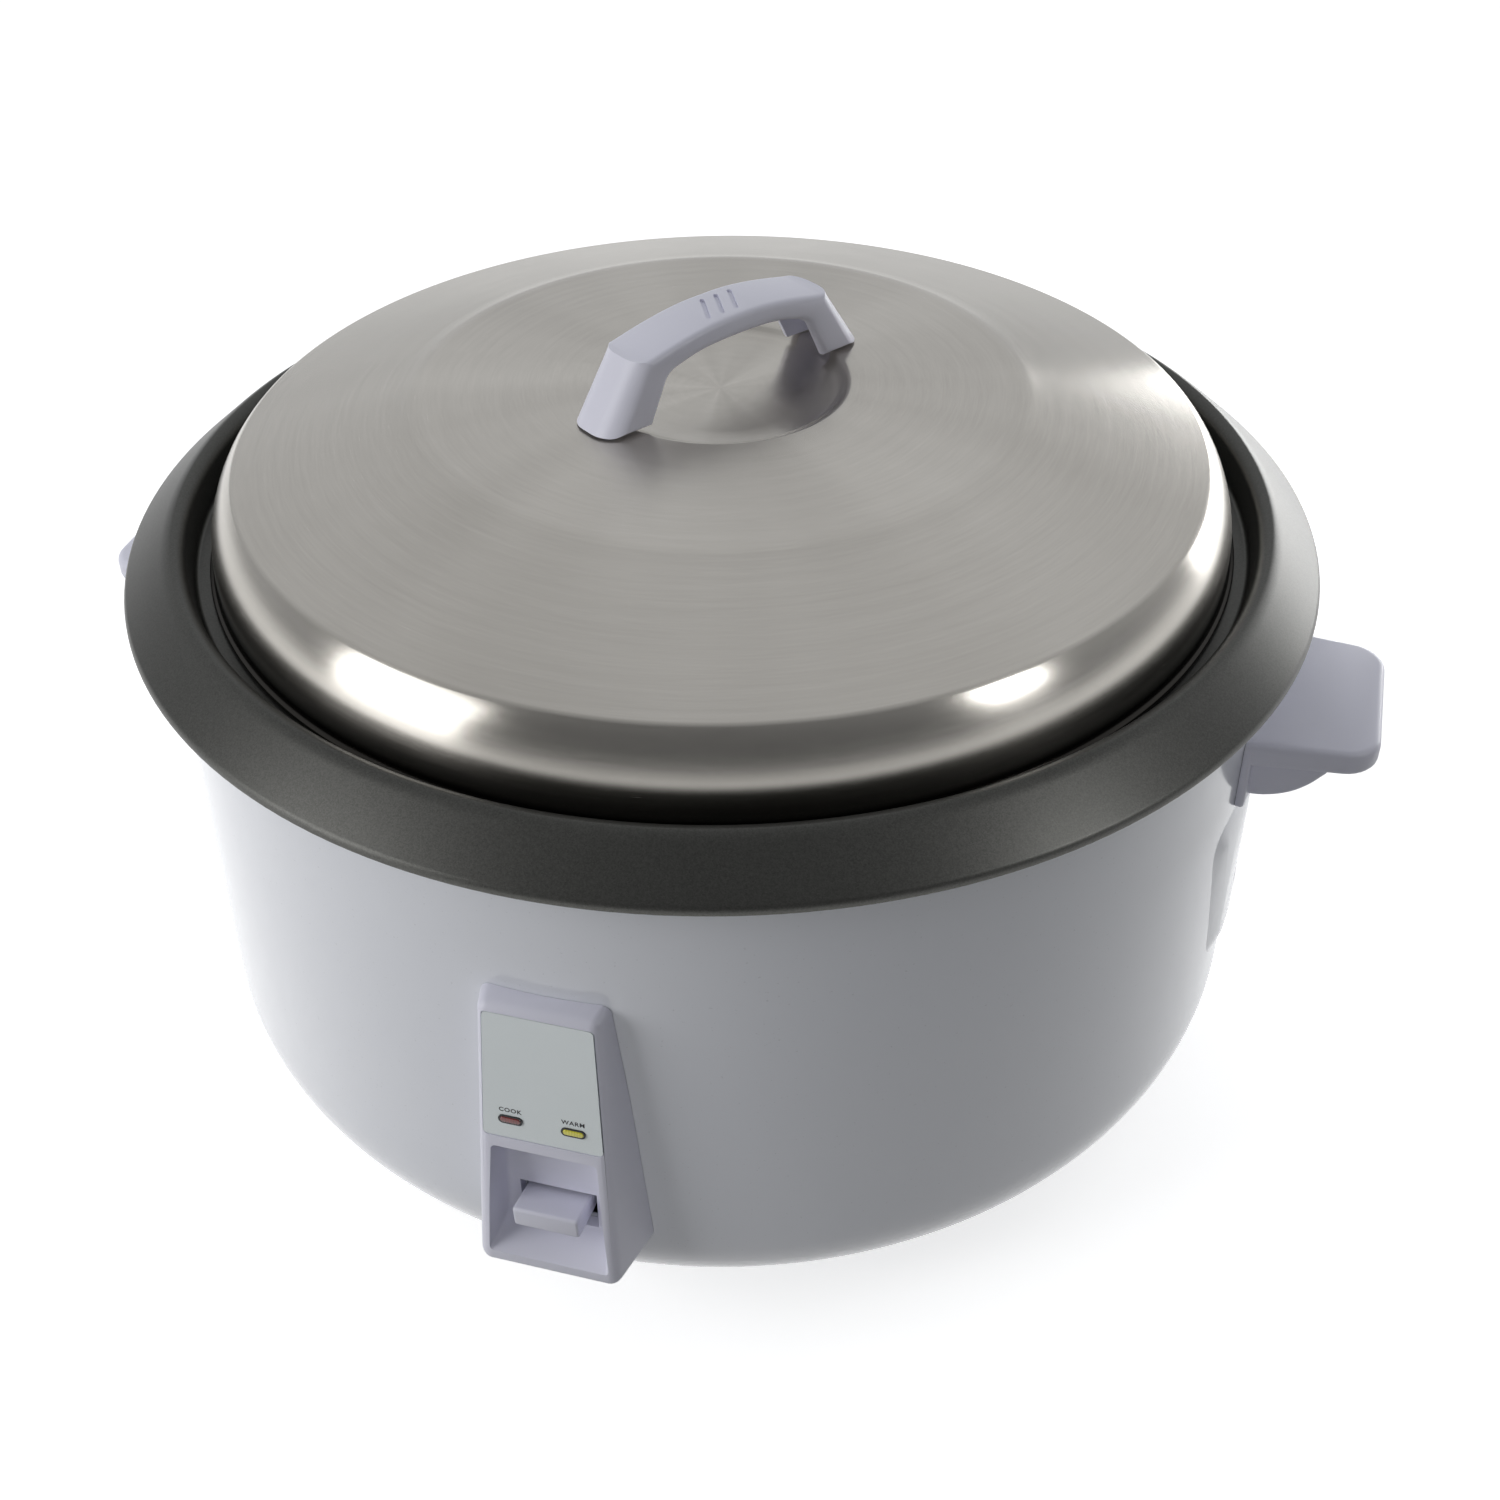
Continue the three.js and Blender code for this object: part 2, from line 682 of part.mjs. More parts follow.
// the rocker: level under the heat shield, then up the gap inside the front wall
function makeArm() {
  const half = ARM_THICK / 2;
  const low = ARM_Z - half;
  const high = ARM_Z + half;
  const side = polygon(
    [-10, low], [BODY_R - 33, low], [ARM_TOP_OUT + half, 47], [ARM_TOP_OUT + half, ARM_TOP_Z],
    [ARM_TOP_OUT - half, ARM_TOP_Z], [ARM_TOP_OUT - half, 48.2], [BODY_R - 34.5, high], [-10, high],
  );
  const strip = sideways(side, ARM_HALF);
  const boss = rodX(3.2, -ARM_HALF, ARM_HALF, -ARM_PIVOT, ARM_Z, 16);
  const pinHole = rodX(PIN_HOLE, -20, 20, -ARM_PIVOT, ARM_Z);
  const rodHole = rod(ROD_R + 1.5, 0, 40);
  return cut(join(strip, boss), pinHole, rodHole);
}
place("magnet_arm", makeArm(), "sheet");

function makeArmBracket() {
  const top = SHELL_FLOOR_Z - GAP;
  const web = block(-12, 12, -ARM_PIVOT - 8, -ARM_PIVOT + 8, top - 1.5, top);
  const cheeks = [-1, 1].map((side) => {
    const x0 = side > 0 ? ARM_HALF + 1 : -ARM_HALF - 2.5;
    return block(x0, x0 + 1.5, -ARM_PIVOT - 6, -ARM_PIVOT + 6, ARM_Z - 4, top - 1);
  });
  const hole = rodX(PIN_HOLE, -20, 20, -ARM_PIVOT, ARM_Z);
  return cut(join(web, ...cheeks), hole);
}
place("arm_bracket", makeArmBracket(), "sheet");
place("arm_pin", rodX(PIN_R, -10, 10, -ARM_PIVOT, ARM_Z), "screw");

const SWITCH_Y = -40;
const BUTTON_R = 1.8;
const BUTTON_TRAVEL = 2.2;
const BUTTON_LOW_Z = ARM_Z + ARM_THICK / 2 + 0.6;
const SWITCH_LOW_Z = BUTTON_LOW_Z + BUTTON_TRAVEL + 0.4;
place(
  "switch_body",
  cut(
    block(-10, 10, SWITCH_Y - 6, SWITCH_Y + 6, SWITCH_LOW_Z, SHELL_FLOOR_Z - GAP),
    rod(BUTTON_R + GAP, 10, BUTTON_LOW_Z + 5 + BUTTON_TRAVEL + 0.4).translate(0, SWITCH_Y, 0),
  ),
  "black",
);
const button = rod(BUTTON_R, BUTTON_LOW_Z, BUTTON_LOW_Z + 5);
place("switch_button", button, "red").position.set(0, SWITCH_Y, 0);

// the paddle: a thick wedge in the niche, thinning to an arm that ends on the hinge pin
function makeLever() {
  const [tip, low, high] = [LEVER_REACH, HINGE_Z + 0.3, HINGE_Z + 9.8];
  const side = polygon(
    [tip - 2, low], [tip - 0.6, low + 0.8], [tip, high - 2], [tip - 0.6, high - 0.6], [tip - 2, high],
    [NICHE_BACK - 2, HINGE_Z + 6], [HINGE_OUT, HINGE_Z + 3], [HINGE_OUT, HINGE_Z - LEVER_UNDER],
    [ARM_TOP_OUT, HINGE_Z - LEVER_UNDER], [NICHE_BACK - 2, HINGE_Z - 2.6],
  );
  const paddle = sideways(side, LEVER_HALF, 1);
  const hub = rodX(3.4, -LEVER_HALF, LEVER_HALF, -HINGE_OUT, HINGE_Z, 16);
  const hole = rodX(PIN_HOLE, -30, 30, -HINGE_OUT, HINGE_Z);
  return cut(join(paddle, hub), hole);
}
place("cook_lever", makeLever(), "plastic");
place("lever_pin", rodX(PIN_R, -16.5, 16.5, -HINGE_OUT, HINGE_Z), "screw");

// cheeks each side of the lever, hung from a plate on the wall above the slot
function makeLeverBracket() {
  const wall = -BODY_R + BODY_WALL + 1.6;
  const top = SLOT_TOP_Z + 16;
  const web = block(-15, 15, wall, wall + 1.5, SLOT_TOP_Z + 2, top);
  const cheeks = [-1, 1].map((side) => {
    const x0 = side > 0 ? LEVER_HALF + 1.5 : -LEVER_HALF - 3;
    return block(x0, x0 + 1.5, wall, -HINGE_OUT + 4.5, HINGE_Z - 6, top);
  });
  const hole = rodX(PIN_HOLE, -30, 30, -HINGE_OUT, HINGE_Z);
  return cut(join(web, ...cheeks), hole);
}
place("lever_bracket", makeLeverBracket(), "sheet");

// ---------------------------------------------------------------- control box

// the box's front face is a tilted plane; pieces let into it are drawn flat and turned
const FACE_FALL = BOX_TOP_Z - BOX_LOW_Z;
const FACE_TILT = Math.atan2(BOX_LOW_OUT - BOX_TOP_OUT, FACE_FALL);
const FACE_LENGTH = FACE_FALL / Math.cos(FACE_TILT);

function onFace(geometry) {
  geometry.rotateX(Math.PI / 2 - FACE_TILT);
  return geometry.translate(0, -BOX_TOP_OUT, BOX_TOP_Z);
}

const faceHalf = (down) =>
  BOX_TOP_HALF + ((BOX_LOW_HALF - BOX_TOP_HALF) * down) / FACE_LENGTH;
const nicheOut = (z) =>
  BOX_TOP_OUT + (BOX_TOP_Z - z) * Math.tan(FACE_TILT);

const LABEL_INSET = 2;
const LABEL_CORNER = 1.6;
const LENS_DOWN = 48.5;
const LENS_X = 11.2;

function labelShape(margin) {
  const top = LABEL_DROP - margin;
  const low = LABEL_DROP + LABEL_LENGTH + margin;
  const inset = LABEL_INSET - margin;
  return taper(faceHalf(top) - inset, -top, faceHalf(low) - inset, -low, LABEL_CORNER);
}

function lozenge(halfLength, r) {
  const right = arc(halfLength - r, 0, r, -90, 90, 5);
  const left = arc(r - halfLength, 0, r, 90, 270, 5);
  return new THREE.Shape([...right, ...left]);
}

function corners(topHalf, lowHalf, topZ, lowZ, topOut, lowOut) {
  return [
    new THREE.Vector3(-topHalf, -topOut, topZ),
    new THREE.Vector3(topHalf, -topOut, topZ),
    new THREE.Vector3(-lowHalf, -lowOut, lowZ),
    new THREE.Vector3(lowHalf, -lowOut, lowZ),
  ];
}

// the left and right corner at one distance and height
const pair = (half, ...rest) => [[-half, ...rest], [half, ...rest]];

function makeBox() {
  const e = BOX_EDGE;
  const back = BODY_R - 12;
  const outside = hullOfBalls(
    [
      ...corners(
        BOX_TOP_HALF - e, BOX_LOW_HALF - e,
        BOX_TOP_Z - e, BOX_LOW_Z + e,
        BOX_TOP_OUT - e, BOX_LOW_OUT - e,
      ),
      ...corners(
        BOX_BACK_TOP_HALF - e + 2, BOX_BACK_LOW_HALF - e + 3,
        BOX_TOP_Z + 3.5 - e, BOX_LOW_Z + 7.5 + e,
        back, back,
      ),
    ],
    e,
  );
  const front = (z) => nicheOut(z) - BOX_WALL - LABEL_RECESS;
  const hollowLow = NICHE_TOP_Z + BOX_WALL;
  const hollowTop = BOX_TOP_Z - BOX_WALL;
  const topHalf = BOX_TOP_HALF - BOX_WALL - 1.7;
  const lowHalf = topHalf + 2;
  const hollow = hull([
    ...pair(topHalf, -front(hollowTop), hollowTop),
    ...pair(topHalf, -back, hollowTop),
    ...pair(lowHalf, -front(hollowLow), hollowLow),
    ...pair(lowHalf, -back, hollowLow),
  ]);
  const past = BOX_LOW_OUT + 6;
  const niche = hull([
    ...pair(NICHE_TOP_HALF, -past, NICHE_TOP_Z + 0.6),
    ...pair(NICHE_BACK_TOP_HALF, -NICHE_BACK, NICHE_TOP_Z - 1),
    ...pair(NICHE_LOW_HALF, -past, NICHE_LOW_Z - 2.4),
    ...pair(NICHE_BACK_LOW_HALF, -NICHE_BACK, SLOT_LOW_Z - 0.5),
  ]);
  const recess = onFace(plate(labelShape(GAP), -LABEL_RECESS, 5));
  const windows = [-LENS_X, LENS_X].map((x) =>
    onFace(block(x - 6, x + 6, -LENS_DOWN - 3.5, -LENS_DOWN + 3.5, -8, 0)),
  );
  const screwHoles = BOX_SCREWS.map((s) =>
    rodY(PIN_HOLE, -s.tip - 1, -BODY_R + 12, s.x, s.z),
  );
  const top = BOX_SCREWS[0];
  const boss = rodY(4.2, -front(top.z) - 1, -BODY_R, top.x, top.z);
  const lampPost = onFace(rod(2, -7.6, -3.4).translate(0, -LENS_DOWN, 0));
  const cased = cut(outside, hollow, niche, recess, ...windows);
  const fitted = join(cased, boss, lampPost);
  return cut(fitted, bodyRoom(GAP), leverSlot(0), ...screwHoles);
}
place("control_box", makeBox(), "plastic");

BOX_SCREWS.forEach((s, i) => {
  const head = insideWall(Math.abs(s.x) + 3.6);
  const screw = turned(
    [[0, -s.tip], [PIN_R, -s.tip], [PIN_R, -head], [3.6, -head], [2.8, -head + 2.4], [0, -head + 2.4]],
    10,
  );
  screw.rotateX(-Math.PI / 2);
  place(`box_screw_${i + 1}`, screw, "screw").position.set(s.x, 0, s.z);
});

function makeLabel() {
  const sheet = plate(labelShape(0), -LABEL_RECESS + GAP, -GAP);
  const holes = [-LENS_X, LENS_X].map((x) =>
    plate(lozenge(4.4, 1.75), -5, 5).translate(x, -LENS_DOWN, 0),
  );
  return onFace(cut(sheet, ...holes));
}
place("label_plate", makeLabel(), "label");

[["cook", -LENS_X, "red"], ["warm", LENS_X, "yellow"]].forEach(([name, x, colour]) => {
  const cap = plate(lozenge(4.1, 1.45), -2.6, 0.4, 0.4, 1);
  const foot = plate(lozenge(5.6, 2.8), -3.1, -LABEL_RECESS - 0.1);
  const lens = join(cap, foot).translate(x, -LENS_DOWN, 0);
  place(`${name}_lens`, onFace(lens), colour);
  const bulb = new THREE.CapsuleGeometry(1.9, 6, 3, 10).rotateZ(Math.PI / 2);
  place(`${name}_lamp`, onFace(bulb.translate(x, -LENS_DOWN, -5.4)), "lamp");
});
const board = block(-16.5, 16.5, -LENS_DOWN - 4, -LENS_DOWN + 6, -9.4, -7.9);
place("lamp_board", onFace(board), "board");

// ---------------------------------------------------------------- side handles

function taperedReach(reach, half, corner, taper) {
  const inner = BODY_R - 8;
  const end = arc(reach - corner, half - corner, corner, 0, 90 - taper, 5);
  const last = end.at(-1);
  const upper = [...end, v2(inner, last.y + (last.x - inner) * Math.tan(rad(taper)))];
  const lower = upper.map((p) => v2(p.x, -p.y)).reverse();
  return new THREE.Shape([...lower, ...upper]);
}

// the handle on the +X side: a slab, a hollow bracket under it and a seat on the wall
function makeHandle() {
  const low = HANDLE_TOP_Z - HANDLE_THICK;
  const outline = taperedReach(HANDLE_REACH, HANDLE_HALF, HANDLE_CORNER, HANDLE_TAPER);
  const slab = plate(outline, low, HANDLE_TOP_Z, 2.6, 3);
  const side = polygon(
    [BODY_R - 8, low + 3], [BODY_R - 8, low - BRACKET_DROP + 1],
    [BODY_R + 3, low - BRACKET_DROP], [BODY_R + 12, low - BRACKET_DROP * 0.86],
    [BODY_R + 20, low - BRACKET_DROP * 0.56], [BRACKET_REACH, low - 1], [BRACKET_REACH, low + 3],
  );
  const bracket = sideways(side, BRACKET_HALF).rotateZ(Math.PI / 2);
  const pocket = block(
    BODY_R + 6, BODY_R + 20,
    -BRACKET_HALF + HANDLE_WALL, BRACKET_HALF - HANDLE_WALL,
    low - 30, low - 1,
  );
  const bosses = [-1, 1].map((s) =>
    rodX(4.6, BODY_R - 4, BODY_R + 16, s * HANDLE_SCREW_Y, HANDLE_SCREW_Z),
  );
  const holes = [-1, 1].map((s) =>
    rodX(2.3, BODY_R - 10, BODY_R + 14, s * HANDLE_SCREW_Y, HANDLE_SCREW_Z),
  );
  const seatZ = [low - BRACKET_DROP - 3, HANDLE_TOP_Z - 2];
  const band = wallBand(-4, SEAT_THICK, ...seatZ);
  const seatBlock = block(BODY_R - 20, BODY_R + 8, -SEAT_HALF, SEAT_HALF, seatZ[0] - 1, seatZ[1] + 1);
  const seat = overlapOf(band, seatBlock);
  const hollowed = cut(join(slab, bracket), pocket);
  return cut(join(hollowed, seat, ...bosses), bodyRoom(GAP), ...holes);
}

const handle = makeHandle();
place("side_handle_right", handle, "plastic");
place("side_handle_left", handle, "plastic").rotation.z = Math.PI;

[0, Math.PI].forEach((turn, side) => {
  [-1, 1].forEach((s, i) => {
    const head = insideWall(HANDLE_SCREW_Y + 4.2);
    const screw = turned(
      [
        [0, head - 2.6], [3.4, head - 2.6], [4.2, head],
        [2, head], [2, BODY_R + 12], [0, BODY_R + 12],
      ],
      12,
    );
    screw.rotateY(Math.PI / 2);
    screw.translate(0, s * HANDLE_SCREW_Y, HANDLE_SCREW_Z);
    place(`handle_screw_${2 * side + i + 1}`, screw, "screw").rotation.z = turn;
  });
});

// ---------------------------------------------------------------- inlet

function makeInletPlate() {
  const shape = taper(INLET_TOP_HALF, INLET_TOP_Z, INLET_LOW_HALF, INLET_LOW_Z, 12);
  const prism = plate(shape, BODY_R - 60, BODY_R + 10);
  prism.rotateX(Math.PI / 2).rotateZ(Math.PI / 2);
  const band = wallBand(GAP, 3.4, INLET_LOW_Z - 5, INLET_TOP_Z + 5);
  const [y, z] = [SOCKET_HALF_Y + GAP, SOCKET_HALF_Z + GAP];
  const opening = block(BODY_R - 80, BODY_R + 20, -y, y, INLET_Z - z, INLET_Z + z);
  return cut(overlapOf(prism, band), opening);
}
place("inlet_plate", makeInletPlate(), "enamel");

const SOCKET_FACE = BODY_R + 1.2; // the socket's mouth, sunk in the plate
function makeSocket() {
  const back = SOCKET_FACE - SOCKET_DEPTH - 2;
  const [y, z] = [SOCKET_HALF_Y, SOCKET_HALF_Z];
  const tube = block(back, SOCKET_FACE, -y, y, INLET_Z - z, INLET_Z + z);
  const [a, b] = [y + SOCKET_BROW, z + SOCKET_BROW];
  const brow = softPolygon([v2(-a, -b), v2(a, -b), v2(a, b), v2(-a, b)], 3);
  const flange = plate(brow, insideWall(a) - 2, insideWall(a), 0.6, 1);
  flange.rotateX(Math.PI / 2).rotateZ(Math.PI / 2).translate(0, 0, INLET_Z);
  const well = block(back + 2, SOCKET_FACE + 9, -y + 2, y - 2, INLET_Z - z + 2, INLET_Z + z - 2);
  const slots = INLET_PINS.map((p) =>
    block(back - 5, back + 5, p.y - 1.4, p.y + 1.4, INLET_Z + p.z - 2.9, INLET_Z + p.z + 2.9),
  );
  return cut(join(tube, flange), well, ...slots);
}
const INLET_PINS = [{ y: -7, z: -1.5 }, { y: 0, z: 2 }, { y: 7, z: -1.5 }];
place("inlet_socket", makeSocket(), "black");
INLET_PINS.forEach((p, i) => {
  const [x0, x1] = [SOCKET_FACE - SOCKET_DEPTH - 5, SOCKET_FACE - 2];
  const pin = block(x0, x1, p.y - 1, p.y + 1, INLET_Z + p.z - 2.5, INLET_Z + p.z + 2.5);
  place(`inlet_pin_${i + 1}`, pin, "brass");
});

function makeTerminalBlock() {
  const floor = BASE_Z + BASE_THICK + GAP;
  const far = TERMINAL_OUT + TERMINAL_DEPTH;
  const top = floor + TERMINAL_HEIGHT;
  const base = block(TERMINAL_OUT, far, -TERMINAL_HALF, TERMINAL_HALF, floor, top);
  const wells = [-12, 0, 12].map((y) =>
    rod(3, floor + 4, 60, 12).translate(far - TERMINAL_DEPTH / 2, y, 0),
  );
  return cut(base, ...wells);
}
place("terminal_block", makeTerminalBlock(), "board");

// ---------------------------------------------------------------- pan

const FLANGE_DROP = 2;
function makePan() {
  const low = PAN_R - PAN_TAPER;
  const corner = low - PAN_CORNER;
  const cornerZ = PAN_FLOOR_Z + SHEET + PAN_CORNER;
  const top = RIM_Z + CREST_RISE;
  const inner = [
    [0, PAN_FLOOR_Z + SHEET],
    ...arc(corner, cornerZ, PAN_CORNER, -90, 0, 4),
    [PAN_R, LEDGE_Z - 4],
    [PAN_R + 1.5, LEDGE_Z],
    [LEDGE_R, LEDGE_Z],
    [LEDGE_R + 1.5, RIM_Z + 12],
    [LEDGE_R + 3.5, top - 0.8],
    [CREST_R, top],
    [CREST_R + 3, top - 0.7],
    [FLANGE_R - 1.4, RIM_Z + 1.3],
    [FLANGE_R, RIM_Z],
    [FLANGE_R, RIM_Z - FLANGE_DROP],
  ];
  const under = [
    [FLANGE_R - 1.6, RIM_Z - FLANGE_DROP],
    [FLANGE_R - 2.4, RIM_Z - 0.2],
    [CREST_R + 2.1, top - 2.8],
    [CREST_R, top - 2.1],
    [LEDGE_R + 4.7, top - 2.9],
    [LEDGE_R + 3.4, RIM_Z + 11],
    [LEDGE_R + 1.9, LEDGE_Z - SHEET],
    [PAN_R + SHEET + 1, LEDGE_Z - SHEET],
    [PAN_R + SHEET, LEDGE_Z - 5],
    ...arc(corner, cornerZ, PAN_CORNER + SHEET, 0, -90, 4),
    [0, PAN_FLOOR_Z],
  ];
  return turned([...inner, ...under]);
}
place("pan", makePan(), "coating");

// ---------------------------------------------------------------- lid

const LID_LOW_Z = LEDGE_Z + GAP;
const CONE_ANGLE = THREE.MathUtils.radToDeg(Math.atan(LID_SLOPE));
const ROLL_R = LID_R - LID_ROLL;
const ROLL_Z = LEDGE_Z + LID_WALL;
const CREASE_R = ROLL_R + (LID_ROLL - LID_CREASE) * Math.cos(rad(LID_ROLL_TURN));
const CREASE_Z = ROLL_Z + (LID_ROLL - LID_CREASE) * Math.sin(rad(LID_ROLL_TURN));

function lidFace(inset) {
  const roll = arc(ROLL_R, ROLL_Z, LID_ROLL - inset, 0, LID_ROLL_TURN, 4);
  const crease = arc(CREASE_R, CREASE_Z, LID_CREASE - inset, LID_ROLL_TURN, 90 - CONE_ANGLE, 2);
  const bend = [...roll, ...crease.slice(1)];
  const start = bend.at(-1);
  const coneTop = start.y + (start.x - STEP_OUT) * LID_SLOPE;
  const stepTop = coneTop + STEP_RISE;
  const crown = stepTop + CROWN_RISE;
  return [
    ...bend,
    v2(STEP_OUT, coneTop),
    v2(STEP_OUT - 3, stepTop - 0.6),
    v2(STEP_IN, stepTop),
    v2(DISH_R, crown),
    v2(DISH_R - 2, crown - DISH_DEPTH * 0.6),
    v2(DISH_R - 9, crown - DISH_DEPTH),
    v2(0, crown - DISH_DEPTH),
  ];
}
const LID_TOP_Z = lidFace(0).at(-1).y + DISH_DEPTH;

const GRIP_SCREW = 53;
function makeLid() {
  const outer = [
    v2(LID_LIP_R, LID_LOW_Z),
    v2(LID_LIP_R, LID_LOW_Z + LID_SHEET),
    v2(LID_R, LID_LOW_Z + LID_SHEET + 1.4),
    ...lidFace(0),
  ];
  const inner = [...lidFace(LID_SHEET).reverse(), v2(LID_R - LID_SHEET, LID_LOW_Z)];
  inner[0].x = 0;
  const shell = turned([...outer, ...inner]);
  const [x, y] = roundTheMiddle(GRIP_SCREW, GRIP_ANGLE);
  const holes = [-1, 1].map((s) => rod(2.3, 0, 600, 12).translate(s * x, s * y, 0));
  return cut(shell, ...holes);
}
place("lid", makeLid(), "steel");

// a rounded oblong at one height, as points
function oblong(z, length, width, r) {
  const round = (x, y, from) => arc(x, y, r, from, from + 90, 4);
  const [x, y] = [length - r, width - r];
  return [...round(x, y, 0), ...round(-x, y, 90), ...round(-x, -y, 180), ...round(x, -y, 270)]
    .map((p) => [p.x, p.y, z]);
}

// the arched handle, drawn along X from its feet's underside; its legs are open inwards
function makeGrip() {
  const rise = GRIP_RISE;
  const kink = [GRIP_SHOULDER + 4, rise - 8.3];
  const outer = new THREE.SplineCurve([
    v2(-GRIP_SHOULDER, rise - 6.2), v2(-GRIP_SHOULDER * 0.55, rise - 1.9), v2(0, rise),
    v2(GRIP_SHOULDER * 0.55, rise - 1.9), v2(GRIP_SHOULDER, rise - 6.2),
  ]);
  const low = rise - GRIP_BAR;
  const inner = new THREE.SplineCurve([
    v2(32.5, low - 4.5), v2(18, low - 0.8), v2(0, low), v2(-18, low - 0.8), v2(-32.5, low - 4.5),
  ]);
  const outline = new THREE.Shape([
    v2(GRIP_FOOT_IN, 0), ...inner.getPoints(8), v2(-GRIP_FOOT_IN, 0),
    v2(-GRIP_FOOT_OUT, 0), v2(-kink[0], kink[1]), ...outer.getPoints(10),
    v2(...kink), v2(GRIP_FOOT_OUT, 0),
  ]);
  const half = GRIP_WIDTH / 2;
  const bar = plate(outline, -half, half, 2.6, 2).rotateX(Math.PI / 2);
  const position = bar.attributes.position;
  for (let i = 0; i < position.count; i++) {
    const down = 1 - Math.min(position.getZ(i) / (rise * 0.75), 1);
    position.setY(i, position.getY(i) * (1 + GRIP_FLARE * down));
  }
  const foot = half * (1 + GRIP_FLARE);
  const roundEnds = hull([
    ...oblong(-1, GRIP_FOOT_OUT + 0.9, foot + 0.1, GRIP_CORNER),
    ...oblong(kink[1], kink[0] + 0.2, half + 0.1, GRIP_CORNER - 2),
    ...oblong(rise + 1, GRIP_SHOULDER, half + 0.1, GRIP_CORNER - 2),
  ]);
  const legTop = low - 6.5;
  const room = half - GRIP_WALL;
  const hollows = [-1, 1].map((s) => {
    const leg = hull([
      ...pair(room, -1).map(([y, z]) => [s * (GRIP_FOOT_IN - 12), y, z]),
      ...pair(room - 1.5, -1).map(([y, z]) => [s * (GRIP_FOOT_OUT - GRIP_WALL), y, z]),
      ...pair(room, legTop).map(([y, z]) => [s * (GRIP_FOOT_IN - 12), y, z]),
      ...pair(room - 1.5, legTop).map(([y, z]) => [s * (kink[0] + 3.6 - GRIP_WALL), y, z]),
    ]);
    return cut(leg, rod(4, 0, 40).translate(s * GRIP_SCREW, 0, 0));
  });
  const holes = [-1, 1].map((s) => rod(PIN_HOLE, -5, 8.5, 12).translate(s * GRIP_SCREW, 0, 0));
  const grooves = [];
  for (let i = 0; i < GROOVES; i++) {
    const x = (i - (GROOVES - 1) / 2) * GROOVE_PITCH;
    const reach = GROOVE_LENGTH / 2;
    const groove = block(-0.8, 0.8, -reach, reach, rise - 1.3, rise + 2);
    grooves.push(groove.rotateZ(rad(-GROOVE_SLANT)).translate(x, 0, 0));
  }
  return cut(overlapOf(bar, roundEnds), ...hollows, ...grooves, ...holes);
}
const lidFurniture = new THREE.Group();
lidFurniture.rotation.z = rad(GRIP_ANGLE);
lidFurniture.position.z = LID_TOP_Z + GAP;
cooker.add(lidFurniture);
place("lid_handle", makeGrip(), "plastic", lidFurniture);

[-1, 1].forEach((s, i) => {
  const head = -GAP - LID_SHEET - 1;
  const screw = turned(
    [[0, head - 2.4], [3, head - 2.4], [4, head], [PIN_R, head], [PIN_R, 7], [0, 7]],
    10,
  );
  place(`lid_screw_${i + 1}`, screw, "screw", lidFurniture).position.x = s * GRIP_SCREW;
});

export default cooker;
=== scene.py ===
"""A catering rice cooker, finished piece by piece over its frame.

Sizes are in millimetres and the scene is in metres, +Z up, with the front towards -Y.
"""
import math

import bmesh
import bpy
from mathutils import Matrix, Vector


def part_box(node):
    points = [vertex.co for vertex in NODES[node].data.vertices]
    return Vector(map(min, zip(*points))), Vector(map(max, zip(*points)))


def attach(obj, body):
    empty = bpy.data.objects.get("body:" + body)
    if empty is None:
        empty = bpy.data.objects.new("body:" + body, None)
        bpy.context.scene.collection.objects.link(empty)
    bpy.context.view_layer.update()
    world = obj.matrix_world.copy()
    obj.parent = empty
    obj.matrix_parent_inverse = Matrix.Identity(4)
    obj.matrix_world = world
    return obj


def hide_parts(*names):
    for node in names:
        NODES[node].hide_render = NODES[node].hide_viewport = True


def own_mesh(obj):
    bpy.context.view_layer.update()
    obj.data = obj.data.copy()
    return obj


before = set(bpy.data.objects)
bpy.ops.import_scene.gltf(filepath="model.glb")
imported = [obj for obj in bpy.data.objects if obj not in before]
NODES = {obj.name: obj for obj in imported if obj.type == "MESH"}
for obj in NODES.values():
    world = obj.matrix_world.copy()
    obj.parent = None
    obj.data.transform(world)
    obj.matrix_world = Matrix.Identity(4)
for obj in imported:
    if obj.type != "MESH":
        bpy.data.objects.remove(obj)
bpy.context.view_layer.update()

MM = 0.001
X, Y, Z = range(3)


# ---------------------------------------------------------------- shader maths


class Value:
    """A shader socket that can be used in sums, products and powers."""

    def __init__(self, finish, socket):
        self.finish = finish
        self.socket = socket

    def maths(self, operation, *others):
        settings = {"operation": operation}
        inputs = dict(enumerate((self, *others)))
        return self.finish.value("ShaderNodeMath", settings, inputs)

    def __add__(self, other):
        return self.maths("ADD", other)

    __radd__ = __add__

    def __mul__(self, other):
        return self.maths("MULTIPLY", other)

    __rmul__ = __mul__

    def __pow__(self, other):
        return self.maths("POWER", other)

    def clamped(self):
        return (self + 0.0).maths("MINIMUM", 1.0).maths("MAXIMUM", 0.0)


def linear(code):
    """An sRGB colour such as d9dbe0 as linear red, green, blue and alpha."""
    parts = [int(code[i:i + 2], 16) / 255 for i in (0, 2, 4)]
    curve = [p / 12.92 if p <= 0.04045 else ((p + 0.055) / 1.055) ** 2.4 for p in parts]
    return (*curve, 1.0)


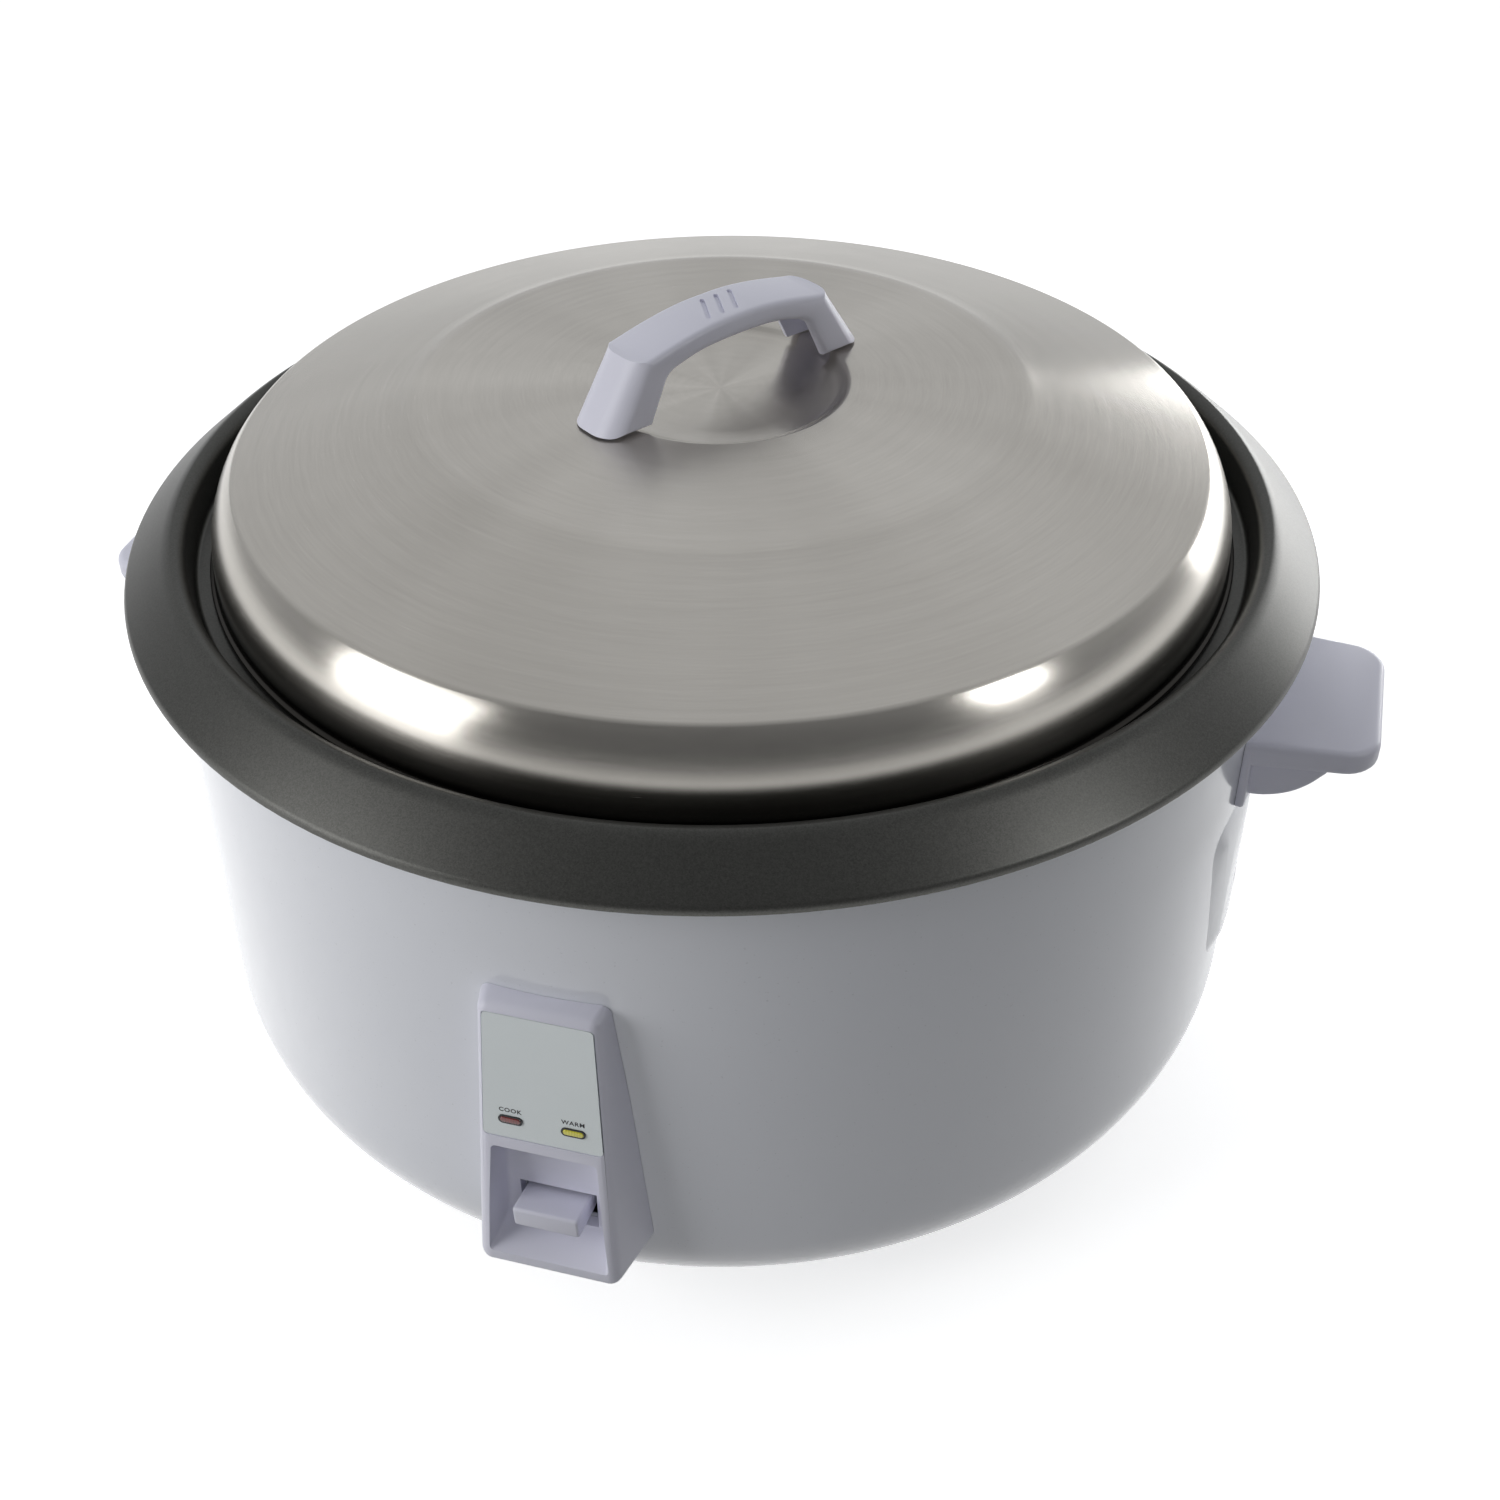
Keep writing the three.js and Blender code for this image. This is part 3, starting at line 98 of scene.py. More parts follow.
class Shading:
    """A node tree under construction."""

    def __init__(self, tree):
        self.tree = tree

    def node(self, kind, settings=None, inputs=None):
        made = self.tree.nodes.new(kind)
        for key, setting in (settings or {}).items():
            if key == "stops":
                self.fill_ramp(made.color_ramp, setting)
            else:
                setattr(made, key, setting)
        for key, given in (inputs or {}).items():
            if isinstance(given, Value):
                given = given.socket
            if isinstance(given, bpy.types.NodeSocket):
                self.tree.links.new(given, made.inputs[key])
            else:
                made.inputs[key].default_value = given
        return made

    def value(self, kind, settings=None, inputs=None, output=0):
        return Value(self, self.node(kind, settings, inputs).outputs[output])

    def fill_ramp(self, ramp, stops):
        while len(ramp.elements) < len(stops):
            ramp.elements.new(1.0)
        for element, (place, tone) in zip(ramp.elements, stops):
            element.position = place
            element.color = (*tone, 1.0)

    def mix(self, amount, first, second):
        """One colour turning into another as amount goes from 0 to 1."""
        settings = {"data_type": "RGBA"}
        inputs = {"Factor": amount, 6: first, 7: second}
        return self.value("ShaderNodeMix", settings, inputs, output=2)


class Finish(Shading):
    """A material under construction: uniform values go straight on the shader."""

    def __init__(self, name, **uniform):
        self.material = bpy.data.materials.new(name)
        self.material.use_nodes = True
        super().__init__(self.material.node_tree)
        self.shader = self.tree.nodes["Principled BSDF"]
        for key, amount in uniform.items():
            socket = self.shader.inputs[key.replace("_", " ").title().replace("Ior", "IOR")]
            socket.default_value = amount

    def place(self, **mapping):
        """Object coordinates, moved, turned or stretched by a Mapping node."""
        spot = self.value("ShaderNodeTexCoord", output="Object")
        inputs = {"Vector": spot}
        inputs.update({key.title(): amount for key, amount in mapping.items()})
        return self.value("ShaderNodeMapping", None, inputs)

    def noise(self, where, scale, detail=3.0, roughness=0.5):
        inputs = {"Vector": where, "Scale": scale, "Detail": detail, "Roughness": roughness}
        return self.value("ShaderNodeTexNoise", None, inputs)

    def between(self, value, low, high):
        """How far value is from low to high, kept within 0 and 1."""
        inputs = {"Value": value, "From Min": low, "From Max": high}
        return self.value("ShaderNodeMapRange", None, inputs)

    def colour(self, given):
        self.tree.links.new(given.socket, self.shader.inputs["Base Color"])

    def roughness(self, given):
        self.tree.links.new(given.socket, self.shader.inputs["Roughness"])

    def bump(self, height, depth_mm, strength=1.0):
        inputs = {"Height": height, "Distance": depth_mm * MM, "Strength": strength}
        made = self.value("ShaderNodeBump", None, inputs)
        self.tree.links.new(made.socket, self.shader.inputs["Normal"])


# ---------------------------------------------------------------- finishes


def fired_enamel():
    f = Finish("fired_enamel", roughness=0.16, ior=1.5, coat_weight=0.35, coat_roughness=0.05)
    where = f.place()
    cloud = f.noise(where, 9.0, 4.0)
    peel = f.noise(where, 420.0, 2.0)
    speck = f.between(f.noise(where, 900.0, 1.0), 0.72, 0.8)
    white = f.mix(cloud, linear("dfe2ea"), linear("e6e8ee"))
    f.colour(f.mix(speck * 0.35, white, linear("b9bac0")))
    f.roughness(0.13 + cloud * 0.08)
    f.bump(peel, 0.02, 0.35)
    return f.material


def moulded_white():
    f = Finish("moulded_white", roughness=0.36, ior=1.46, specular_ior_level=0.45)
    where = f.place()
    flow = f.noise(f.place(scale=(1.0, 1.0, 3.0)), 16.0, 5.0)
    grain = f.noise(where, 1500.0, 2.0)
    scuff = f.between(f.noise(where, 60.0, 6.0, 0.7), 0.66, 0.78)
    body = f.mix(flow, linear("e8e8f4"), linear("e0e0ee"))
    f.colour(f.mix(scuff * 0.25, body, linear("d0cfdd")))
    f.roughness(0.33 + grain * 0.1 + scuff * 0.08)
    f.bump(grain, 0.012, 0.5)
    return f.material


def flaked_coating():
    f = Finish("flaked_coating", metallic=0.8, roughness=0.4, specular_ior_level=0.4)
    where = f.place()
    inputs = {"Vector": where, "Scale": 2600.0}
    flake = f.value("ShaderNodeTexVoronoi", None, inputs, output="Color")
    glint = f.value("ShaderNodeSeparateColor", None, {"Color": flake})
    soft = f.noise(where, 1100.0, 3.0, 0.7)
    cloud = f.noise(where, 12.0, 3.0)
    tone = (glint * 0.3 + soft * 0.45 + cloud * 0.25).clamped()
    f.colour(f.mix(tone, linear("3a3a38"), linear("5f5f5c")))
    f.roughness(0.32 + soft * 0.14)
    f.bump(soft, 0.012, 0.4)
    return f.material


def polar(f):
    """Distance from the upright middle line, height, and angle round it."""
    spot = f.place()
    parts = f.node("ShaderNodeSeparateXYZ", None, {"Vector": spot})
    x, y, z = (Value(f, parts.outputs[i]) for i in range(3))
    r = (x * x + y * y) ** 0.5
    return r, z, y.maths("ARCTAN2", x)


def brushed_lid():
    f = Finish(
        "brushed_lid", metallic=1.0, roughness=0.24, anisotropic=0.75, anisotropic_rotation=0.25,
    )
    r, z, angle = polar(f)
    ring = f.value("ShaderNodeCombineXYZ", None, {"X": r, "Y": z, "Z": angle * 0.004})
    fine = f.noise(ring, 2600.0, 3.0, 0.7)
    broad = f.noise(ring, 420.0, 4.0, 0.6)
    smear = f.noise(f.place(), 14.0, 4.0, 0.6)
    # Painted highlight: lighter and darker fans running out from the middle of the lid stand in for
    # the radial reflections of the lights in the spun metal.
    around = f.value("ShaderNodeCombineXYZ", None, {"X": angle * 1.6, "Y": r * 3.0})
    painted_fans = f.between(f.noise(around, 1.0, 2.0, 0.4), 0.3, 0.7)
    # The tone is partly the real brushing grain and partly the painted highlight fans.
    tone = (fine * 0.3 + broad * 0.25 + smear * 0.1 + painted_fans * 0.35).clamped()
    lit = f.mix(tone, linear("a5a19a"), linear("d8d4cd"))
    # Painted reflection: the colour turns dark near the lid's foot, from 236 mm up down to 229 mm,
    # standing in for the dark pan flange reflected in the lower wall.
    f.colour(f.mix(f.between(z, 0.229, 0.236), linear("3a3835"), lit))
    f.roughness(0.17 + fine * 0.1 + smear * 0.05)
    f.bump(fine + broad * 0.5, 0.004, 0.4)
    return f.material


def printed_label():
    f = Finish("printed_label", roughness=0.34, ior=1.49, coat_weight=0.2, coat_roughness=0.25)
    where = f.place()
    cloud = f.noise(where, 40.0, 3.0)
    dust = f.noise(where, 2400.0, 2.0)
    f.colour(f.mix((cloud * 0.6 + dust * 0.4).clamped(), linear("e6eeef"), linear("f0f6f7")))
    f.roughness(0.3 + dust * 0.1)
    f.bump(dust, 0.006, 0.4)
    return f.material


def ink():
    f = Finish("ink", roughness=0.5)
    patch = f.noise(f.place(), 1800.0, 2.0)
    f.colour(f.mix(patch, linear("17171b"), linear("2a2a30")))
    f.roughness(0.42 + patch * 0.2)
    return f.material


def lens(name, deep, bright, glow):
    """Ribbed clear plastic, a little clouded, with a faint glow."""
    f = Finish(name, roughness=0.18, ior=1.49, coat_weight=0.6, coat_roughness=0.04)
    where = f.place()
    ribs = f.value("ShaderNodeTexWave", {"bands_direction": "X"}, {"Vector": where, "Scale": 320.0})
    cloud = f.noise(where, 300.0, 2.0)
    f.colour(f.mix((ribs * 0.35 + cloud * 0.65).clamped(), linear(deep), linear(bright)))
    f.roughness(0.12 + cloud * 0.15)
    f.bump(ribs, 0.03, 0.4)
    f.shader.inputs["Emission Color"].default_value = linear(bright)
    f.shader.inputs["Emission Strength"].default_value = glow
    return f.material


def metal(name, dark, light, rough, grain=500.0, stretch=(1.0, 1.0, 1.0), depth=0.01):
    """Bare or plated metal with a drawn or cast grain."""
    f = Finish(name, metallic=1.0, roughness=rough)
    where = f.place(scale=stretch)
    fine = f.noise(where, grain, 4.0, 0.65)
    stain = f.noise(f.place(), 35.0, 5.0, 0.6)
    f.colour(f.mix((fine * 0.5 + stain * 0.5).clamped(), linear(dark), linear(light)))
    f.roughness((rough - 0.08) + fine * 0.12 + stain * 0.06)
    f.bump(fine, depth, 0.5)
    return f.material


def dull(name, dark, light, rough, grain=700.0, depth=0.03):
    """Rubber, fibre board, sintered blocks, small mouldings and the lamps' glass."""
    f = Finish(name, roughness=rough, specular_ior_level=0.35)
    where = f.place()
    fine = f.noise(where, grain, 3.0, 0.6)
    wear = f.between(f.noise(where, 45.0, 5.0, 0.7), 0.55, 0.75)
    body = f.mix(fine, linear(dark), linear(light))
    f.colour(f.mix(wear * 0.3, body, linear(light)))
    f.roughness((rough - 0.06) + fine * 0.14)
    f.bump(fine, depth, 0.6)
    return f.material


ENAMEL = fired_enamel()
WHITE = moulded_white()
COATING = flaked_coating()
LID_STEEL = brushed_lid()
LABEL_FINISH = printed_label()
INK = ink()
RED_LENS = lens("red_lens", "3d0b0b", "8e2a26", 0.03)
YELLOW_LENS = lens("yellow_lens", "8f8a10", "d8cf3a", 0.15)
SHEET_STEEL = metal("sheet_steel", "8d8f8e", "c2c4c2", 0.42, 260.0, (1.0, 9.0, 1.0))
CAST_ALLOY = metal("cast_alloy", "8a8e91", "b9bcbe", 0.5, 900.0, depth=0.05)
SCREW_STEEL = metal("screw_steel", "9a9da0", "cfd2d4", 0.28, 1200.0)
BRASS = metal("brass_pins", "9c7f3d", "cdb06a", 0.3, 1400.0)
SPRING_STEEL = metal("spring_steel", "77797b", "a7aaad", 0.32, 1600.0)
RUBBER = dull("foot_rubber", "202022", "343437", 0.85)
BLACK = dull("black_moulding", "151517", "26262a", 0.45, 1500.0, 0.015)
BOARD = dull("fibre_board", "5a3d24", "7a5638", 0.65, 500.0)
FERRITE = dull("ferrite", "29292d", "45454a", 0.7, 1100.0)
BUTTON_RED = dull("button_red", "7e1f1a", "a5352c", 0.4, 1400.0, 0.01)
LAMP_GLASS = dull("lamp_glass", "c9b49a", "ece0c8", 0.12, 600.0, 0.005)

CARRIED = {
    SHEET_STEEL: ["base_plate", "sensor_sleeve", "magnet_arm", "arm_bracket", "lever_bracket"],
    SCREW_STEEL: ["thermal_fuse", "magnet_rod", "arm_pin", "lever_pin"],
    FERRITE: ["sensor_disc", "magnet"],
    BLACK: ["switch_body"],
    BUTTON_RED: ["switch_button"],
    BOARD: ["lamp_board", "terminal_block"],
    LAMP_GLASS: ["cook_lamp", "warm_lamp"],
}
CARRIED_FAMILIES = {
    "foot_": RUBBER,
    "base_screw_": SCREW_STEEL,
    "box_screw_": SCREW_STEEL,
    "handle_screw_": SCREW_STEEL,
    "lid_screw_": SCREW_STEEL,
    "plate_post_": SCREW_STEEL,
    "terminal_": BRASS,
    "inlet_pin_": BRASS,
}


def refinish_carried_nodes():
    for family, finish in CARRIED_FAMILIES.items():
        for name in NODES:
            if name.startswith(family):
                refinish(name, finish)
    for finish, names in CARRIED.items():
        for name in names:
            refinish(name, finish)


def refinish(name, finish):
    for slot in NODES[name].material_slots:
        slot.material = finish


# ---------------------------------------------------------------- bench tools


def soften_corner(bm, vert, size, steps):
    """Rounds one corner of a wire, starting that far along each of its two sides."""
    bmesh.ops.bevel(
        bm, geom=[vert], offset=size * MM, offset_type="OFFSET", segments=steps,
        profile=0.5, affect="VERTICES", material=-1,
    )


def wire(bm, points, closed, steps):
    """A line through (across, up) or (across, up, softness) points in the XZ plane."""
    verts = [bm.verts.new((p[0] * MM, 0, p[1] * MM)) for p in points]
    for pair in zip(verts, verts[1:]):
        bm.edges.new(pair)
    if closed:
        bm.edges.new((verts[-1], verts[0]))
    for vert, point in zip(verts, points):
        if len(point) > 2:
            soften_corner(bm, vert, point[2], steps)
    return bm


def tidy(bm):
    bmesh.ops.remove_doubles(bm, verts=bm.verts, dist=2e-6)
    bmesh.ops.dissolve_degenerate(bm, edges=bm.edges, dist=1e-7)
    bmesh.ops.recalc_face_normals(bm, faces=bm.faces)
    return bm


def spun(points, around, closed=True, steps=6):
    """A profile turned once round Z. A profile that starts and ends on the axis isn't closed."""
    bm = wire(bmesh.new(), points, closed, steps)
    bmesh.ops.spin(
        bm, geom=bm.verts[:] + bm.edges[:], cent=(0, 0, 0), axis=(0, 0, 1), dvec=(0, 0, 0),
        angle=2 * math.pi, steps=around, use_merge=True, use_duplicate=False,
    )
    return tidy(bm)


def slab(points, depth, steps=5):
    """An outline in XZ thickened along Y, half each way."""
    bm = wire(bmesh.new(), points, True, steps)
    bmesh.ops.contextual_create(bm, geom=bm.edges[:])
    grown = bmesh.ops.extrude_face_region(bm, geom=bm.faces[:])
    moved = [g for g in grown["geom"] if isinstance(g, bmesh.types.BMVert)]
    bmesh.ops.translate(bm, verts=moved, vec=(0, depth * MM, 0))
    bmesh.ops.translate(bm, verts=bm.verts, vec=(0, -depth * MM / 2, 0))
    return tidy(bm)


def flat(points, z0, z1, steps=5):
    """An outline with X across and Y up, from z0 to z1 thick."""
    bm = slab(points, z1 - z0, steps)
    bmesh.ops.rotate(bm, verts=bm.verts, matrix=Matrix.Rotation(math.radians(-90), 3, "X"))
    bmesh.ops.translate(bm, verts=bm.verts, vec=(0, 0, (z0 + z1) / 2 * MM))
    return bm


def edges_between(bm, low, high):
    """Edges whose two faces meet at an angle from low to high, in degrees."""
    found = []
    for edge in bm.edges:
        if len(edge.link_faces) == 2:
            if low <= math.degrees(edge.calc_face_angle(0.0)) <= high:
                found.append(edge)
    return found


def run(edge, axis):
    """How far an edge goes along one axis."""
    start, end = edge.verts
    return abs(start.co[axis] - end.co[axis])


def sharp_rims(bm, axis):
    """The sharp edges that lie square to an axis."""
    return [e for e in edges_between(bm, 60, 120) if run(e, axis) < 1e-6]


def round_edges(bm, edges, size, steps=3):
    bmesh.ops.bevel(
        bm, geom=edges, offset=size * MM, offset_type="OFFSET", segments=steps,
        profile=0.5, affect="EDGES", material=-1, clamp_overlap=True,
    )


def block(x, y, z):
    """A block between two ends along each axis."""
    bm = bmesh.new()
    made = bmesh.ops.create_cube(bm, size=1.0)
    size = ((x[1] - x[0]) * MM, (y[1] - y[0]) * MM, (z[1] - z[0]) * MM)
    centre = ((x[0] + x[1]) * MM / 2, (y[0] + y[1]) * MM / 2, (z[0] + z[1]) * MM / 2)
    bmesh.ops.scale(bm, verts=made["verts"], vec=size)
    bmesh.ops.translate(bm, verts=made["verts"], vec=centre)
    return bm


def wedge(front_out, back_out, z, front_half, back_half):
    """A block that tapers: each argument gives its top value, then its bottom value."""
    bm = bmesh.new()
    bmesh.ops.create_cube(bm, size=2.0)
    for vert in bm.verts:
        low = vert.co.z < 0
        half = (front_half if vert.co.y < 0 else back_half)[low]
        out = (front_out if vert.co.y < 0 else back_out)[low]
        vert.co = Vector((math.copysign(half, vert.co.x), -out, z[low])) * MM
    bmesh.ops.recalc_face_normals(bm, faces=bm.faces)
    return bm


def drum(r, z0, z1, around):
    """A solid cylinder round Z."""
    bm = bmesh.new()
    bmesh.ops.create_cone(
        bm, cap_ends=True, segments=around, radius1=r * MM, radius2=r * MM, depth=(z1 - z0) * MM,
    )
    bmesh.ops.translate(bm, verts=bm.verts, vec=(0, 0, (z0 + z1) / 2 * MM))
    return bm


def loose(bm):
    mesh = bpy.data.meshes.new("loose")
    bm.to_mesh(mesh)
    bm.free()
    obj = bpy.data.objects.new("loose", mesh)
    bpy.context.collection.objects.link(obj)
    return obj


def carved(bm, tools, way="DIFFERENCE"):
    """The shape with each tool cut out of it, joined to it, or kept as its limit."""
    stock = loose(bm)
    cutters = [loose(tool) for tool in tools]
    for cutter in cutters:
        step = stock.modifiers.new("carve", "BOOLEAN")
        step.operation = way
        step.solver = "EXACT"
        step.object = cutter
    bpy.context.view_layer.update()
    depsgraph = bpy.context.evaluated_depsgraph_get()
    done = stock.evaluated_get(depsgraph).to_mesh()
    out = bmesh.new()
    out.from_mesh(done)
    for obj in [stock, *cutters]:
        bpy.data.objects.remove(obj)
    bmesh.ops.remove_doubles(out, verts=out.verts, dist=2e-6)
    bmesh.ops.dissolve_limit(out, angle_limit=math.radians(0.5), verts=out.verts, edges=out.edges)
    return out


def piece(name, bm, finish, body, stands_for=(), sharp=32.0, edge=0.0):
    """Turns a bmesh into a finished piece that rides on a body."""
    mesh = bpy.data.meshes.new(name)
    bm.to_mesh(mesh)
    bm.free()
    mesh.materials.append(finish)
    obj = bpy.data.objects.new(name, mesh)
    bpy.context.collection.objects.link(obj)
    mesh.shade_smooth()
    mesh.set_sharp_from_angle(angle=math.radians(sharp))
    if edge:
        bevel = obj.modifiers.new("edge", "BEVEL")
        bevel.width = edge * MM
        bevel.segments = 3
        bevel.limit_method = "ANGLE"
        bevel.angle_limit = math.radians(35)
        bevel.harden_normals = False
    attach(obj, body)
    if stands_for:
        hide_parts(*stands_for)
    return obj


def wrap_round_body(bm, radius):
    """Bends a flat piece, drawn with X across and -Y outwards, round the body."""
    for vert in bm.verts:
        out = radius * MM - vert.co.y
        turn = vert.co.x / (radius * MM)
        vert.co.x = out * math.sin(turn)
        vert.co.y = -out * math.cos(turn)


def cross_cuts(bm, places):
    """Cuts a piece across at each X so that it can bend."""
    for x in places:
        geom = bm.verts[:] + bm.edges[:] + bm.faces[:]
        bmesh.ops.bisect_plane(bm, geom=geom, plane_co=(x * MM, 0, 0), plane_no=(1, 0, 0), dist=1e-7)


# ---------------------------------------------------------------- sizes

BODY_R = 212.0
BODY_WALL = 1.5
RIM_Z = 223.0
SLOT_Z = (RIM_Z - 163.5, RIM_Z - 146.5)
SLOT_HALF = 14.2
INLET_Z = RIM_Z - 118
INLET_HALF_TALL = 11.0
WINDOW_HALF = 13.7
HINGE_OUT = BODY_R - 16
HINGE_Z = RIM_Z - 155
GRIP_ANGLE = 56.0
ROLL_Z = RIM_Z + 11.85
LID_TOP_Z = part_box("lid_handle")[0][2] / MM

# ---------------------------------------------------------------- body


def open_window(bm, inside):
    """Opens the double wall wherever inside() says, and joins the hole's two rims."""
    found = [f for f in bm.faces if inside(f.calc_center_median() / MM)]
    bmesh.ops.delete(bm, geom=found, context="FACES")
    bmesh.ops.bridge_loops(bm, edges=[e for e in bm.edges if e.is_boundary])


def make_body_shell():
    low, high = SLOT_Z
    under, over = INLET_Z - INLET_HALF_TALL, INLET_Z + INLET_HALF_TALL
    inner = BODY_R - BODY_WALL
    bm = spun([
        (152, 7), (BODY_R, 7, 45), (BODY_R, low), (BODY_R, high), (BODY_R, under), (BODY_R, over),
        (BODY_R, 222.5, 6), (197, 222.5, 0.4), (197, 221, 0.4), (inner, 221, 4.5), (inner, over),
        (inner, under), (inner, high), (inner, low), (inner, 8.5, 43.5), (152, 8.5),
    ], around=192, steps=14)
    open_window(bm, lambda c: c.y < -200 and abs(c.x) < WINDOW_HALF and low < c.z < high)
    open_window(bm, lambda c: c.x > 200 and abs(c.y) < WINDOW_HALF and under < c.z < over)
    piece("body_shell", tidy(bm), ENAMEL, "base", ["outer_body"], sharp=50)


make_body_shell()

# ---------------------------------------------------------------- heater


PLATE_TOP = 54.7
PLATE_LOW = 38.7
RING_DEPTH = 0.35
RING_HALF = 1.2


def make_heater():
    shield = spun([
        (12, 28), (189.5, 28, 30), (189.5, 105, 3), (194.5, 216.5, 2), (196, 219.5, 1),
        (203.3, 219.5), (203.3, 220.7), (195, 220.7, 1), (193.3, 217.3, 2), (188.3, 105, 3),
        (188.3, 29.2, 30), (12, 29.2),
    ], around=144, steps=8)
    piece("heat_shield", shield, SHEET_STEEL, "base", ["inner_shell"], sharp=50)
    rings = []
    for r in (60, 75, 90, 105, 120):
        groove = (r, PLATE_TOP - RING_DEPTH)
        rings += [(r - RING_HALF, PLATE_TOP), groove, (r + RING_HALF, PLATE_TOP)]
    plate = spun([
        (20, PLATE_TOP), *rings, (150, PLATE_TOP, 3), (150, 47.7, 1), (138, PLATE_LOW, 2),
        (108, PLATE_LOW), (108, 33.2, 5), (92, 33.2, 5), (92, PLATE_LOW), (25, PLATE_LOW),
        (25, 46), (20, 46),
    ], around=128)
    piece("heater_plate", plate, CAST_ALLOY, "base", ["heating_plate"])
    cap = spun([
        (0, PLATE_TOP), (15, PLATE_TOP), (16, 54.3), (19, 54.3, 1), (19, 41.2), (21.5, 41.2, 0.4),
        (21.5, 40, 0.4), (17.8, 40), (17.8, 53.2, 1), (0, 53.2),
    ], closed=False, around=64)
    piece("sensor_button", cap, CAST_ALLOY, "sensor_cap", ["sensor_cap"])


def make_cap_spring():
    """The coil under the sensor cap; the real coil shortens as the cap goes down, and this one is
    made at one length.
    """
    low, high = (corner[2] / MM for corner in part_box("sensor_spring"))
    turns, steps, wire_r, coil_r = 3.6, 130, 0.6, 18.0
    climb = (high - low - 2 * wire_r) / steps
    bm = bmesh.new()
    bmesh.ops.create_circle(bm, cap_ends=True, segments=12, radius=wire_r * MM)
    bmesh.ops.rotate(bm, verts=bm.verts, matrix=Matrix.Rotation(math.radians(90), 3, "X"))
    bmesh.ops.translate(bm, verts=bm.verts, vec=(coil_r * MM, 0, (low + wire_r) * MM))
    bmesh.ops.spin(
        bm, geom=bm.verts[:] + bm.edges[:] + bm.faces[:], cent=(0, 0, 0), axis=(0, 0, 1),
        dvec=(0, 0, climb * MM), angle=turns * 2 * math.pi, steps=steps, use_merge=False,
        use_duplicate=False,
    )
    spring = piece("cap_spring", tidy(bm), SPRING_STEEL, "base", ["sensor_spring"])
    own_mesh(spring)


make_heater()
make_cap_spring()

# ---------------------------------------------------------------- pan and lid


def make_pan():
    pan = spun([
        (0, 57), (184, 57, 20), (189, 220, 3), (190.6, 225, 1.4), (199.6, 225, 1.6),
        (202.2, 239.0, 4.2), (207.6, 239.2, 4.0), (225.9, 223.4, 1.6), (226, 221, 0.5),
        (224.5, 221, 0.4), (224.0, 222.7, 0.8), (206.8, 237, 3), (203.9, 236.8, 3),
        (201.4, 223, 1.2), (192.2, 223, 2), (191, 219, 3), (186, 55, 22), (0, 55),
    ], closed=False, around=192, steps=8)
    piece("cooking_pan", pan, COATING, "pan", ["pan"], sharp=55)


def lid_profile():
    outer = [
        (194.2, 225.3, 0.5), (194.2, 226.6, 0.5), (192, 227.2, 1), (192, ROLL_Z + 14.08, 14.0),
        (181.31, ROLL_Z + 24.77, 1.02), (120.5, 277.3, 3), (113, 279.9, 3), (47.8, 282.25, 1.2),
        (44.4, 279.9, 1.4), (37, 278.8, 4), (0, 278.8),
    ]
    inner = [
        (0, 277.6), (37.2, 277.6, 4), (45, 278.9, 1.4), (48, 281.05, 1.2), (113, 278.7, 3),
        (120, 276.1, 3), (180.68, ROLL_Z + 23.7, 0.7), (190.8, ROLL_Z + 13.59, 13.5), (190.8, 225.3),
    ]
    return outer + inner


def make_steel_lid():
    lid = spun(lid_profile(), around=224, steps=10)
    piece("steel_lid", lid, LID_STEEL, "lid", ["lid"], sharp=50)


make_pan()
make_steel_lid()

# ---------------------------------------------------------------- lid handle


def hulled(points):
    """The tightest convex shape round some points."""
    bm = bmesh.new()
    for point in points:
        bm.verts.new(Vector(point) * MM)
    bmesh.ops.convex_hull(bm, input=bm.verts)
    return tidy(bm)


def rounded_grip_ends():
    """The envelope that rounds the grip's feet off, seen from above."""
    length, half, rise = 61.5, 12.7, 22.0
    bm = flat([
        (-length, -half, 10), (length, -half, 10), (length, half, 10), (-length, half, 10),
    ], -0.1, 31.5, steps=10)
    bmesh.ops.bisect_plane(
        bm, geom=bm.verts[:] + bm.edges[:] + bm.faces[:], dist=1e-7,
        plane_co=(0, 0, rise * MM), plane_no=(0, 0, 1),
    )
    for vert in bm.verts:
        if vert.co.z > MM:
            below_rise = vert.co.z < (rise + 1) * MM
            vert.co.x *= 0.757 if below_rise else 0.675
            vert.co.y *= 0.955
    return bm


GRIP_RISE = 30.3
GRIP_SCREW = 53.0
GROOVE_PITCH = 6.4


